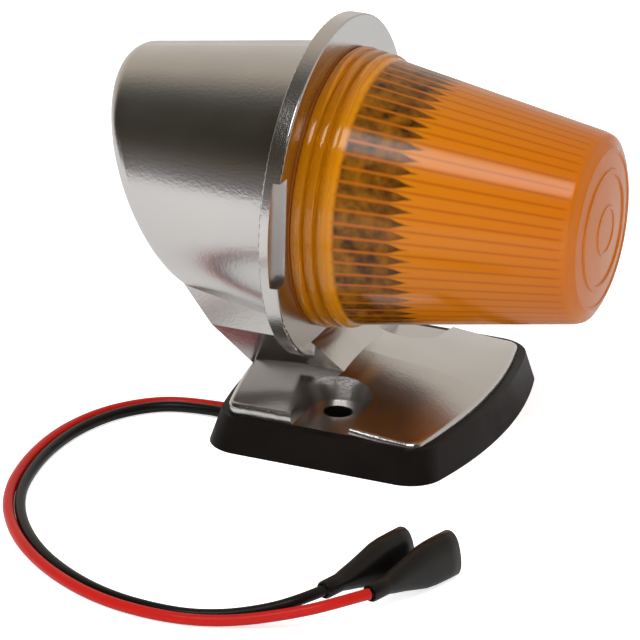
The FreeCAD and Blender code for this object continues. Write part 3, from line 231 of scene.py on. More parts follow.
# Black glass insulator of the bulb cap: smooth and shiny.
BLACK_GLASS = Finish("black cap glass", "#0C0C0F", "#15151A", 3.0, 0.0, (0.08, 0.14), 1.5, 0.01)
# Soft solder: dull grey bead.
SOFT_SOLDER = Finish("soft solder", "#9A9B9E", "#85868A", 1.0, 1.0, (0.35, 0.5), 0.3, 0.02)
# Blown soda-lime glass of the bulb: clear and smooth.
BULB_GLASS = Finish("soda lime bulb glass", "#FBFCFC", "#F4F8F8", 20.0, 0.0, (0.0, 0.02), 4.0, 0.004,
                    ior=1.5, transmission=1.0)
# Drawn nickel wire of the filament posts: grey metal.
NICKEL_WIRE = Finish("nickel wire", "#A8A49C", "#8F8B84", 1.0, 1.0, (0.25, 0.35), 0.2, 0.003)
# Tungsten coil: dark grey metal.
TUNGSTEN = Finish("tungsten wire", "#56565A", "#45454A", 0.6, 1.0, (0.35, 0.5), 0.15, 0.01)
# Extruded PVC insulation: deep red, satin.
RED_PVC = Finish("red pvc insulation", "#B4150B", "#A01109", 14.0, 0.0, (0.32, 0.42), 0.7, 0.008,
                 specular=0.2)
# Extruded PVC insulation: black, satin.
BLACK_PVC = Finish("black pvc insulation", "#0A0706", "#120E0B", 14.0, 0.0, (0.32, 0.42), 0.7, 0.008,
                   specular=0.2)
# Soft moulded PVC of the terminal sleeves: black with a long soft highlight.
SOFT_PVC = Finish("soft moulded pvc", "#0B0807", "#120F0D", 6.0, 0.0, (0.28, 0.38), 1.1, 0.02,
                  specular=0.25)


@dataclass(frozen=True)
class AmberLens:
    """Injection-moulded amber acrylic over a fluted inside: glossy, deep orange, lined by the flutes.

    Args:
        name: Real name of the material and its surface.
        collar: sRGB hex colour of the thick collar.
        near: sRGB hex colour of the cone next to the shaded stretch.
        far: sRGB hex colour of the cone at its end.
        line: sRGB hex colour along the flutes.
        shade: sRGB hex colour of the painted shade, the stretch where the dark cup lies behind the lens.
        shade_line: sRGB hex colour along the flutes in that painted shade.
        face_mm: X of the flange face.
        axis_mm: Height of the lens axis.
        length_mm: Length that the colours from collar to end are spread over.
        stops: Shares of that length where the collar's colour ends and where the near one is reached.
        flutes: Flutes round the lens.
        line_share: Half width of a flute's line, as a share of half the pitch.
        line_weight: Strength of the lines outside the shaded stretch.
        cone_mm: Where the flutes start and end, from the flange face.
        rise_mm: Where the lines fade in, about the flutes' start.
        fall_mm: Where they fade out, about the flutes' end.
        clear_mm: Where the clear collar starts to turn into the hazier cone, and where it ends.
        clear: Transmission of the collar and of the cone.
        haze: Roughness of the collar and of the cone.
        shade_mm: Where the painted shade ends at a flute's line, and how much further between lines.
        shade_rise_mm: Where it fades in, about the flutes' start.
        shade_fall_mm: Length over which it fades out.
        patch_mm: Size of the uneven patches in the painted shade, and how far they push its end.
        patch_range: Noise values where a patch starts and where it is full.
        patch_weight: Darkness of the painted shade between and in its patches.
        ripple_mm: Spacing and height of the outside's slight ripple.
        ior: Index of refraction.
        coat: Weight and roughness of the polished skin.
        specular: Strength of the surface reflection; 0.5 is that of the plain IOR.
    """

    name: str = "amber acrylic"
    collar: str = "#EE9A08"
    near: str = "#D27A06"
    far: str = "#CC6E08"
    line: str = "#A04A06"
    # Painted shade: near black with orange along the flutes, where the dark cup lies behind the lens.
    shade: str = "#140A03"
    shade_line: str = "#B35C0C"
    face_mm: float = LENS_FACE_MM
    axis_mm: float = LENS_AXIS_MM
    length_mm: float = 56.0
    stops: tuple[float, float] = (0.16, 0.42)
    flutes: int = LENS_FLUTES
    line_share: float = 0.42
    line_weight: float = 0.55
    cone_mm: tuple[float, float] = (8.2, 53.5)
    rise_mm: tuple[float, float] = (-0.4, 0.8)
    fall_mm: tuple[float, float] = (-1.5, 0.5)
    clear_mm: tuple[float, float] = (6.0, 9.5)
    clear: tuple[float, float] = (0.7, 0.3)
    haze: tuple[float, float] = (0.05, 0.2)
    shade_mm: tuple[float, float] = (18.5, 4.5)
    shade_rise_mm: tuple[float, float] = (-0.2, 1.0)
    shade_fall_mm: float = 2.4
    patch_mm: tuple[float, float] = (3.0, 3.0)
    patch_range: tuple[float, float] = (0.3, 0.75)
    patch_weight: tuple[float, float] = (0.95, 0.6)
    ripple_mm: tuple[float, float] = (4.0, 0.01)
    ior: float = 1.49
    coat: tuple[float, float] = (0.12, 0.08)
    specular: float = 0.12

    def material(self) -> bpy.types.Material:
        """Build the node material, or return it if it exists."""
        found = bpy.data.materials.get(self.name)
        if found is not None:
            return found
        made = bpy.data.materials.new(self.name)
        made.use_nodes = True
        tree = made.node_tree
        tree.nodes.clear()
        place = add_node(tree, "ShaderNodeTexCoord").outputs["Object"]
        along, between = self._along(tree, place), self._between(tree, place)
        ripple = add_node(tree, "ShaderNodeTexNoise", {"Scale": 1 / (self.ripple_mm[0] * MM)},
                          {"Vector": place})
        bump = add_node(tree, "ShaderNodeBump", {"Strength": 1.0, "Distance": self.ripple_mm[1] * MM},
                        {"Height": ripple.outputs["Fac"]})
        shader = add_node(tree, "ShaderNodeBsdfPrincipled",
                          {"IOR": self.ior, "Coat Weight": self.coat[0],
                           "Coat Roughness": self.coat[1], "Specular IOR Level": self.specular},
                          {"Base Color": self._colour(tree, place, along, between),
                           "Normal": bump.outputs[0],
                           "Transmission Weight": self._blend(tree, along, self.clear_mm, self.clear),
                           "Roughness": self._blend(tree, along, self.clear_mm, self.haze)})
        add_node(tree, "ShaderNodeOutputMaterial", {}, {"Surface": shader.outputs[0]})
        return made

    def _colour(self, tree: bpy.types.NodeTree, place: bpy.types.NodeSocket, along: bpy.types.NodeSocket,
                between: bpy.types.NodeSocket) -> bpy.types.NodeSocket:
        """Return the colour: the orange body and the painted shade in front of the dark cup, both lined by
        the flutes.

        Args:
            tree: Node tree of the lens.
            place: Object coordinates.
            along: Distance from the flange face.
            between: 0 on a flute's line, 1 halfway to the next.

        Returns:
            The colour's socket.
        """
        line = self._blend(tree, between, (0.0, self.line_share), (1.0, 0.0), "SMOOTHSTEP")
        lined = self._product(tree, line, self._fluted(tree, along))
        faint = add_node(tree, "ShaderNodeMath", {"operation": "MULTIPLY", 1: self.line_weight}, {0: lined})
        bright = add_node(tree, "ShaderNodeMix", {"data_type": "RGBA", 7: linear(self.line)},
                          {0: faint.outputs[0], 6: self._body(tree, along)})
        # Painted shade: near black, lined with orange along the flutes.
        dark = add_node(tree, "ShaderNodeMix",
                        {"data_type": "RGBA", 6: linear(self.shade), 7: linear(self.shade_line)},
                        {0: lined})
        both = add_node(tree, "ShaderNodeMix", {"data_type": "RGBA"},
                        {0: self._painted_shade(tree, place, along, between), 6: bright.outputs[2],
                         7: dark.outputs[2]})
        return both.outputs[2]

    def _body(self, tree: bpy.types.NodeTree, along: bpy.types.NodeSocket) -> bpy.types.NodeSocket:
        """Return the orange of the body, which deepens from the collar to the end.

        Args:
            tree: Node tree of the lens.
            along: Distance from the flange face.

        Returns:
            The colour's socket.
        """
        share = self._blend(tree, along, (0.0, self.length_mm), (0.0, 1.0))
        body = add_node(tree, "ShaderNodeValToRGB", {}, {0: share})
        collar_end, near = self.stops
        set_ramp(body, [(0.0, self.collar), (collar_end, self.collar), (near, self.near), (1.0, self.far)])
        return body.outputs[0]

    def _along(self, tree: bpy.types.NodeTree, place: bpy.types.NodeSocket) -> bpy.types.NodeSocket:
        """Return the distance from the flange face in millimetres.

        Args:
            tree: Node tree of the lens.
            place: Object coordinates.

        Returns:
            The distance's socket.
        """
        parts = add_node(tree, "ShaderNodeSeparateXYZ", {}, {0: place})
        moved = add_node(tree, "ShaderNodeMath",
                         {"operation": "MULTIPLY_ADD", 1: 1 / MM, 2: -self.face_mm}, {0: parts.outputs["X"]})
        return moved.outputs[0]

    def _between(self, tree: bpy.types.NodeTree, place: bpy.types.NodeSocket) -> bpy.types.NodeSocket:
        """Return 0 on the line of a flute and 1 halfway to the next.

        Args:
            tree: Node tree of the lens.
            place: Object coordinates.

        Returns:
            The socket of that share.
        """
        parts = add_node(tree, "ShaderNodeSeparateXYZ", {}, {0: place})
        height = add_node(tree, "ShaderNodeMath", {"operation": "SUBTRACT", 1: self.axis_mm * MM},
                          {0: parts.outputs["Z"]})
        angle = add_node(tree, "ShaderNodeMath", {"operation": "ARCTAN2"},
                         {0: height.outputs[0], 1: parts.outputs["Y"]})
        turns = add_node(tree, "ShaderNodeMath", {"operation": "MULTIPLY", 1: self.flutes / math.tau},
                         {0: angle.outputs[0]})
        swing = add_node(tree, "ShaderNodeMath", {"operation": "PINGPONG", 1: 0.5}, {0: turns.outputs[0]})
        twice = add_node(tree, "ShaderNodeMath", {"operation": "MULTIPLY", 1: 2.0}, {0: swing.outputs[0]})
        return twice.outputs[0]

    def _fluted(self, tree: bpy.types.NodeTree, along: bpy.types.NodeSocket) -> bpy.types.NodeSocket:
        """Return 1 where the cone is fluted, softly ended.

        Args:
            tree: Node tree of the lens.
            along: Distance from the flange face.

        Returns:
            The socket of that share.
        """
        start, end = self.cone_mm
        rise = self._blend(tree, along, (start + self.rise_mm[0], start + self.rise_mm[1]), (0.0, 1.0),
                           "SMOOTHSTEP")
        fall = self._blend(tree, along, (end + self.fall_mm[0], end + self.fall_mm[1]), (1.0, 0.0),
                           "SMOOTHSTEP")
        return self._product(tree, rise, fall)

    # Mask of the painted shade in front of the dark cup.
    def _painted_shade(self, tree: bpy.types.NodeTree, place: bpy.types.NodeSocket, along: bpy.types.NodeSocket,
                between: bpy.types.NodeSocket) -> bpy.types.NodeSocket:
        """Return 1 where shade is painted in front of the dark cup, with a pointed end between the flutes.

        Args:
            tree: Node tree of the lens.
            place: Object coordinates.
            along: Distance from the flange face.
            between: 0 on a flute's line, 1 halfway to the next.

        Returns:
            The share of painted shade.
        """
        size, push = self.patch_mm
        reach = add_node(tree, "ShaderNodeMath",
                         {"operation": "MULTIPLY_ADD", 1: self.shade_mm[1], 2: self.shade_mm[0]},
                         {0: between})
        patches = add_node(tree, "ShaderNodeTexNoise", {"Scale": 1 / (size * MM), "Detail": 2.0},
                           {"Vector": place})
        uneven = add_node(tree, "ShaderNodeMath", {"operation": "MULTIPLY_ADD", 1: push},
                          {0: patches.outputs["Fac"], 2: reach.outputs[0]})
        past = add_node(tree, "ShaderNodeMath", {"operation": "SUBTRACT"},
                        {0: uneven.outputs[0], 1: along})
        end = self._blend(tree, past.outputs[0], (0.0, self.shade_fall_mm), (0.0, 1.0), "SMOOTHSTEP")
        first, (early, late) = self.cone_mm[0], self.shade_rise_mm
        start = self._blend(tree, along, (first + early, first + late), (0.0, 1.0), "SMOOTHSTEP")
        faint = self._blend(tree, patches.outputs["Fac"], self.patch_range, self.patch_weight)
        return self._product(tree, self._product(tree, end, start), faint)

    def _blend(self, tree: bpy.types.NodeTree, value: bpy.types.NodeSocket, span: tuple[float, float],
               result: tuple[float, float], way: str = "LINEAR") -> bpy.types.NodeSocket:
        """Return a value that goes from one result to the other over a span.

        Args:
            tree: Node tree of the lens.
            value: What is compared with the span.
            span: Where the change starts and ends.
            result: Values before and after it.
            way: Blender's name of the interpolation.

        Returns:
            The blended value.
        """
        change = add_node(tree, "ShaderNodeMapRange",
                          {"interpolation_type": way, "From Min": span[0], "From Max": span[1],
                           "To Min": result[0], "To Max": result[1]}, {"Value": value})
        return change.outputs[0]

    def _product(self, tree: bpy.types.NodeTree, one: bpy.types.NodeSocket,
                 other: bpy.types.NodeSocket) -> bpy.types.NodeSocket:
        """Return two values multiplied."""
        return add_node(tree, "ShaderNodeMath", {"operation": "MULTIPLY"}, {0: one, 1: other}).outputs[0]


AMBER_ACRYLIC = AmberLens()


def smooth(mesh: bpy.types.Mesh, angle_deg: float = 40.0) -> None:
    """Shade a mesh smooth, with edges sharper than the angle left crisp."""
    mesh.shade_smooth()
    mesh.set_sharp_from_angle(angle=math.radians(angle_deg))


def finish_piece(name: str, form: bmesh.types.BMesh, finish: Finish | AmberLens, body: str,
                 replaces: tuple[str, ...] = (), angle_deg: float = 40.0) -> bpy.types.Object:
    """Turn a bmesh into a piece that rides on a body.

    Args:
        name: Name of the piece.
        form: The shape, in the lamp's frame.
        finish: Its surface.
        body: Body that it rides on.
        replaces: Solids that it stands for.
        angle_deg: Edges sharper than this stay crisp.

    Returns:
        The piece.
    """
    bmesh.ops.recalc_face_normals(form, faces=form.faces)
    mesh = bpy.data.meshes.new(name)
    form.to_mesh(mesh)
    form.free()
    smooth(mesh, angle_deg)
    piece = bpy.data.objects.new(name, mesh)
    bpy.context.scene.collection.objects.link(piece)
    mesh.materials.append(finish.material())
    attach(piece, body)
    if replaces:
        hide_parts(*replaces)
    LOG.info("%s: %d faces on %s", name, len(mesh.polygons), body)
    return piece


def dress(nodes: dict[str, bpy.types.Object], finishes: dict[str, Finish]) -> None:
    """Give solids of the frame their materials.

    Args:
        nodes: Objects of the frame by name.
        finishes: Finish by node name.
    """
    for name, finish in finishes.items():
        item = nodes[name]
        material = finish.material()
        for place in item.material_slots:
            place.material = material
        if not item.material_slots:
            item.data.materials.append(material)
        LOG.info("%s: %s", name, finish.name)


@dataclass
class Studio:
    """Pale floor, plain light and the camera of the photograph.

    Args:
        focal_px: Focal length in pixels of the frame.
        frame_px: Width of the frame.
        place_mm: Camera position.
        right: Direction of the frame's right side.
        up: Direction of the frame's upper side.
        back: Direction towards the viewer.
        floor_m: Half width of the floor.
        floor_drop_mm: Floor under the resting face, so that the two don't flicker.
    """

    focal_px: float = 4500.0
    frame_px: float = 640.0
    place_mm: Vector = field(default_factory=lambda: Vector((298.8, -788.0, 366.2)))
    right: Vector = field(default_factory=lambda: Vector((0.9258, 0.3771, 0.0264)))
    up: Vector = field(default_factory=lambda: Vector((-0.1663, 0.3437, 0.9242)))
    back: Vector = field(default_factory=lambda: Vector((0.3395, -0.8601, 0.3809)))
    floor_m: float = 3.0
    floor_drop_mm: float = 0.05

    def build(self) -> None:
        """Set the camera, the floor, the world and the lamps."""
        self._camera()
        self._floor()
        self._world()
        self._lamps()
        bpy.context.scene.view_settings.view_transform = "Standard"

    def _camera(self) -> None:
        """Place the camera where the photograph was taken."""
        lens = bpy.data.cameras.new("camera")
        lens.sensor_width = 36.0
        lens.lens = self.focal_px / self.frame_px * lens.sensor_width
        lens.clip_end = 20.0
        holder = bpy.data.objects.new("camera", lens)
        bpy.context.scene.collection.objects.link(holder)
        turn = Matrix((self.right, self.up, self.back)).transposed().to_4x4()
        holder.matrix_world = Matrix.Translation(self.place_mm * MM) @ turn
        bpy.context.scene.camera = holder

    def _floor(self) -> None:
        """Lay the pale floor, a few hundredths of a millimetre under the lamp."""
        form = bmesh.new()
        bmesh.ops.create_grid(form, x_segments=1, y_segments=1, size=self.floor_m)
        mesh = bpy.data.meshes.new("floor")
        form.to_mesh(mesh)
        form.free()
        floor = bpy.data.objects.new("floor", mesh)
        bpy.context.scene.collection.objects.link(floor)
        floor.location.z = -self.floor_drop_mm * MM
        paper = bpy.data.materials.new("white studio paper")
        paper.use_nodes = True
        tree = paper.node_tree
        tree.nodes.clear()
        rays = add_node(tree, "ShaderNodeLightPath")
        matt = add_node(tree, "ShaderNodeBsdfDiffuse", {"Color": linear("#F4F4F4")})
        glow = add_node(tree, "ShaderNodeEmission", {"Color": linear("#FFFFFF"), "Strength": 0.62})
        both = add_node(tree, "ShaderNodeAddShader", {}, {0: matt.outputs[0], 1: glow.outputs[0]})
        shown = add_node(tree, "ShaderNodeMixShader", {},
                         {0: rays.outputs["Is Camera Ray"], 1: matt.outputs[0], 2: both.outputs[0]})
        add_node(tree, "ShaderNodeOutputMaterial", {}, {"Surface": shown.outputs[0]})
        mesh.materials.append(paper)

    def _world(self) -> None:
        """White behind the lamp; for reflections the room runs from front to back overhead."""
        world = bpy.data.worlds.new("studio room")
        bpy.context.scene.world = world
        world.use_nodes = True
        tree = world.node_tree
        tree.nodes.clear()
        rays = add_node(tree, "ShaderNodeLightPath")
        way = add_node(tree, "ShaderNodeTexCoord")
        parts = add_node(tree, "ShaderNodeSeparateXYZ", {}, {0: way.outputs["Generated"]})
        front = add_node(tree, "ShaderNodeMath", {"operation": "MULTIPLY", 1: -1.0}, {0: parts.outputs["Y"]})
        swing = add_node(tree, "ShaderNodeMath", {"operation": "ARCTAN2"},
                         {0: parts.outputs["Z"], 1: front.outputs[0]})
        share = add_node(tree, "ShaderNodeMath", {"operation": "DIVIDE", 1: math.pi}, {0: swing.outputs[0]})
        room = add_node(tree, "ShaderNodeValToRGB", {}, {0: share.outputs[0]})
        # Degrees from the floor in front, over the ceiling, to the floor behind.
        stops = [(0, "#8F8A90"), (18, "#6E685F"), (30, "#453E2E"), (46, "#2E2A1D"), (74, "#3A3526"),
                 (90, "#5F5D58"), (102, "#9C968C"), (118, "#D3C8B8"), (180, "#EFEBE4")]
        set_ramp(room, [(degrees / 180, colour) for degrees, colour in stops])
        mirrored = add_node(tree, "ShaderNodeBackground", {"Strength": 1.0}, {"Color": room.outputs[0]})
        soft = add_node(tree, "ShaderNodeBackground", {"Color": linear("#FFFFFF"), "Strength": 0.55})
        white = add_node(tree, "ShaderNodeBackground", {"Color": linear("#FFFFFF"), "Strength": 1.0})
        first = add_node(tree, "ShaderNodeMixShader", {},
                         {0: rays.outputs["Is Glossy Ray"], 1: soft.outputs[0], 2: mirrored.outputs[0]})
        through = add_node(tree, "ShaderNodeMath", {"operation": "MAXIMUM"},
                           {0: rays.outputs["Is Camera Ray"], 1: rays.outputs["Is Transmission Ray"]})
        last = add_node(tree, "ShaderNodeMixShader", {},
                        {0: through.outputs[0], 1: first.outputs[0], 2: white.outputs[0]})
        add_node(tree, "ShaderNodeOutputWorld", {}, {"Surface": last.outputs[0]})

    def _lamps(self) -> None:
        """Hang a strip box over the front, which the surfaces mirror, and two soft boxes beside it."""
        for name, place, size, power, mirrored in (
                ("strip_box", (0.14, -0.62, 1.12), (0.8, 0.36), 6.0, True),
                ("left_box", (-1.1, -0.5, 0.9), (0.9, 0.9), 9.0, False),
                ("low_fill", (0.7, -1.0, 0.3), (0.8, 0.6), 6.0, False)):
            data = bpy.data.lights.new(name, "AREA")
            data.shape = "RECTANGLE"
            data.size, data.size_y = size
            data.energy = power
            lamp = bpy.data.objects.new(name, data)
            bpy.context.scene.collection.objects.link(lamp)
            lamp.location = place
            lamp.visible_glossy = mirrored
            aim = LAMP_MIDDLE - Vector(place)
            lamp.rotation_euler = aim.to_track_quat("-Z", "Y").to_euler()


@dataclass(frozen=True)
class Lead:
    """One flying lead with its sleeve and blade terminal.

    Args:
        name: Wire piece.
        node: Solid that the wire stands for.
        route_mm: Control points from the gasket to the sleeve, as in the solid.
        tube_mm: Length of the solid's tube.
        neck_mm: Where the sleeve's neck starts.
        mouth_mm: Point that the sleeve's mouth faces.
        finish: Insulation.
        slot: Material slot of the insulation; not used.
        sleeve: Sleeve piece.
        sleeve_node: Solid that the sleeve stands for.
        terminal_node: Blade terminal inside.
    """

    name: str
    node: str
    route_mm: tuple[tuple[float, float, float], ...]
    tube_mm: float
    neck_mm: tuple[float, float]
    mouth_mm: tuple[float, float]
    finish: Finish
    slot: str
    sleeve: str
    sleeve_node: str
    terminal_node: str


RED_LEAD = Lead(
    "red_lead", "wire_red",
    ((-27.6, -15.8, 1.3), (-34.8, -16.1, 1.2), (-42.0, -20.0, 1.15), (-48.2, -28.5, 1.15),
     (-51.6, -40.8, 1.15), (-51.6, -55.6, 1.15), (-48.1, -72.2, 1.15), (-39.7, -87.0, 1.15),
     (-27.6, -98.9, 1.15), (-12.6, -107.0, 1.15), (2.4, -108.6, 1.15), (13.4, -105.3, 1.2),
     (24.9, -100.2, 3.3), (30.9, -95.4, 4.5), (34.5, -90.1, 4.6)),
    173.8, (34.6, -89.9), (42.0, -66.7), RED_PVC, "pvc_red",
    "red_lead_sleeve", "sleeve_red_wire", "terminal_red_wire")
BLACK_LEAD = Lead(
    "black_lead", "wire_black",
    ((-27.6, -18.1, 1.3), (-34.3, -18.4, 1.2), (-40.5, -21.8, 1.15), (-46.1, -29.5, 1.15),
     (-49.3, -41.1, 1.15), (-49.3, -55.4, 1.15), (-46.0, -71.4, 1.15), (-37.9, -85.6, 1.15),
     (-26.3, -97.1, 1.15), (-12.0, -104.8, 1.15), (2.1, -106.3, 1.15), (10.6, -103.7, 1.2),
     (18.2, -100.7, 2.6), (23.8, -98.1, 4.5), (26.3, -92.5, 4.6)),
    157.6, (26.4, -92.3), (33.7, -68.7), BLACK_PVC, "pvc_black",
    "black_lead_sleeve", "sleeve_black_wire", "terminal_black_wire")


@dataclass
class FlyingLeads:
    """The two leads on the floor, each with a soft sleeve over its terminal.

    Args:
        wire_mm: Diameter over the insulation.
        sleeve_mm: Length of a sleeve.
        wide_mm: Width of a sleeve's flat end.
        thick_mm: Thickness of that end.
        neck_mm: Diameter of the neck.
        wall_mm: Wall of a sleeve.
        lift_mm: Height of a sleeve's centre line.
        roll_deg: Turn of a sleeve that lies on its narrow side.
        sides: Corners of a ring across a sleeve.
    """

    wire_mm: float = 2.2
    sleeve_mm: float = 24.5
    wide_mm: float = 9.0
    thick_mm: float = 4.8
    neck_mm: float = 3.5
    wall_mm: float = 0.7
    lift_mm: float = 4.6
    roll_deg: float = 78.0
    sides: int = 48

    def build(self, nodes: dict[str, bpy.types.Object]) -> None:
        """Build both leads.

        Args:
            nodes: Objects of the frame by name.
        """
        for lead in (RED_LEAD, BLACK_LEAD):
            sleeve = self._sleeve(lead)
            dress(nodes, {lead.terminal_node: TINNED_BRASS})
            self._wire(lead)

    def _wire(self, lead: Lead) -> None:
        """Args:
            lead: The lead.
        """
        curve = bpy.data.curves.new(lead.name, "CURVE")
        curve.dimensions = "3D"
        curve.bevel_depth = self.wire_mm / 2 * MM
        curve.bevel_resolution = 5
        curve.resolution_u = 14
        curve.use_fill_caps = True
        line = curve.splines.new("NURBS")
        line.points.add(len(lead.route_mm) - 1)
        for point, place in zip(line.points, lead.route_mm):
            point.co = (*(value * MM for value in place), 1.0)
        line.order_u = 3
        line.use_endpoint_u = True
        line.use_smooth = True
        curve.materials.append(lead.finish.material())
        wire = bpy.data.objects.new(lead.name, curve)
        bpy.context.scene.collection.objects.link(wire)
        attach(wire, ROOT)
        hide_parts(lead.node)
        LOG.info("%s: %.1f mm", lead.name, lead.tube_mm)

    def _sleeve(self, lead: Lead) -> bpy.types.Object:
        """Build one sleeve from its mouth's inside, over the lip and back to the neck.

        Args:
            lead: The lead that it belongs to.

        Returns:
            The sleeve.
        """
        wide, thick, neck, wall = self.wide_mm / 2, self.thick_mm / 2, self.neck_mm / 2, self.wall_mm
        end = self.sleeve_mm
        # Each ring: place along the sleeve, half width, half thickness and squareness.
        bore = [(end - 9.2, wide - wall - 0.35, thick - wall - 0.3, 2.3),
                (end - 5.0, wide - wall, thick - wall, 2.4),
                (end - 0.3, wide - wall, thick - wall, 2.4)]
        lip = [(end, wide - wall + 0.25, thick - wall + 0.25, 2.4), (end, wide - 0.3, thick - 0.3, 2.4),
               (end - 0.35, wide, thick, 2.4)]
        flat = [(end - 3.0, wide, thick, 2.4), (end - 6.5, wide - 0.08, thick - 0.03, 2.4),
                (end - 9.0, wide - 0.3, thick - 0.08, 2.3)]
        taper = [(end - 12.0, wide - 1.0, thick - 0.25, 2.2), (end - 15.5, wide - 1.85, thick - 0.4, 2.1),
                 (end - 18.3, neck + 0.35, neck + 0.2, 2.0), (end - 19.5, neck + 0.05, neck + 0.05, 2.0)]
        collar = [(end - 20.2, neck, neck, 2.0), (0.35, neck, neck, 2.0),
                  (0.0, neck - 0.2, neck - 0.2, 2.0), (0.1, neck - 0.42, neck - 0.42, 2.0),
                  (0.8, neck - 0.5, neck - 0.5, 2.0)]
        stations = bore + lip + flat + taper + collar
        form = bmesh.new()
        rings = [self._ring(form, *station) for station in stations]
        for before, after in zip(rings, rings[1:]):
            bmesh.ops.bridge_loops(form, edges=before + after)
        for ring in (rings[0], rings[-1]):
            bmesh.ops.contextual_create(form, geom=ring)
        heading = Vector(lead.mouth_mm) - Vector(lead.neck_mm)
        place = Matrix.Translation(Vector((*lead.neck_mm, self.lift_mm)) * MM)
        turn = (Matrix.Rotation(math.atan2(heading.y, heading.x), 4, "Z")
                @ Matrix.Rotation(math.radians(self.roll_deg), 4, "X"))
        bmesh.ops.transform(form, matrix=place @ turn, verts=form.verts)
        return finish_piece(lead.sleeve, form, SOFT_PVC, ROOT, (lead.sleeve_node,), 50.0)

    def _ring(self, form: bmesh.types.BMesh, along: float, wide: float, thick: float,
              squareness: float) -> list[bmesh.types.BMEdge]:
        """Add one flat-oval ring across the sleeve.

        Args:
            form: Mesh that takes the ring.
            along: Place along the sleeve in millimetres.
            wide: Half width in millimetres.
            thick: Half thickness in millimetres.
            squareness: 2 for an ellipse, more for squarer corners.

        Returns:
            The ring's edges.
        """
        made = bmesh.ops.create_circle(form, segments=self.sides, radius=1.0)["verts"]
        power = 2 / squareness
        for vertex in made:
            across, over = vertex.co.x, vertex.co.y
            vertex.co = Vector((along, math.copysign(abs(across) ** power, across) * wide,
                                math.copysign(abs(over) ** power, over) * thick)) * MM
        return list({edge for vertex in made for edge in vertex.link_edges})


@dataclass
class Casting:
    """Chrome housing, the rubber gasket under it and the seal in its rim."""

    def build(self, nodes: dict[str, bpy.types.Object]) -> None:
        """Dress the housing, the gasket and the seal.

        Args:
            nodes: Objects of the frame by name.
        """
        # The seal's amber brown is painted glow from the collar.
        dress(nodes, {"housing": CHROME_PLATE, "base_gasket": EPDM_RUBBER, "lens_seal": SEAL_RUBBER_PAINTED_GLOW})


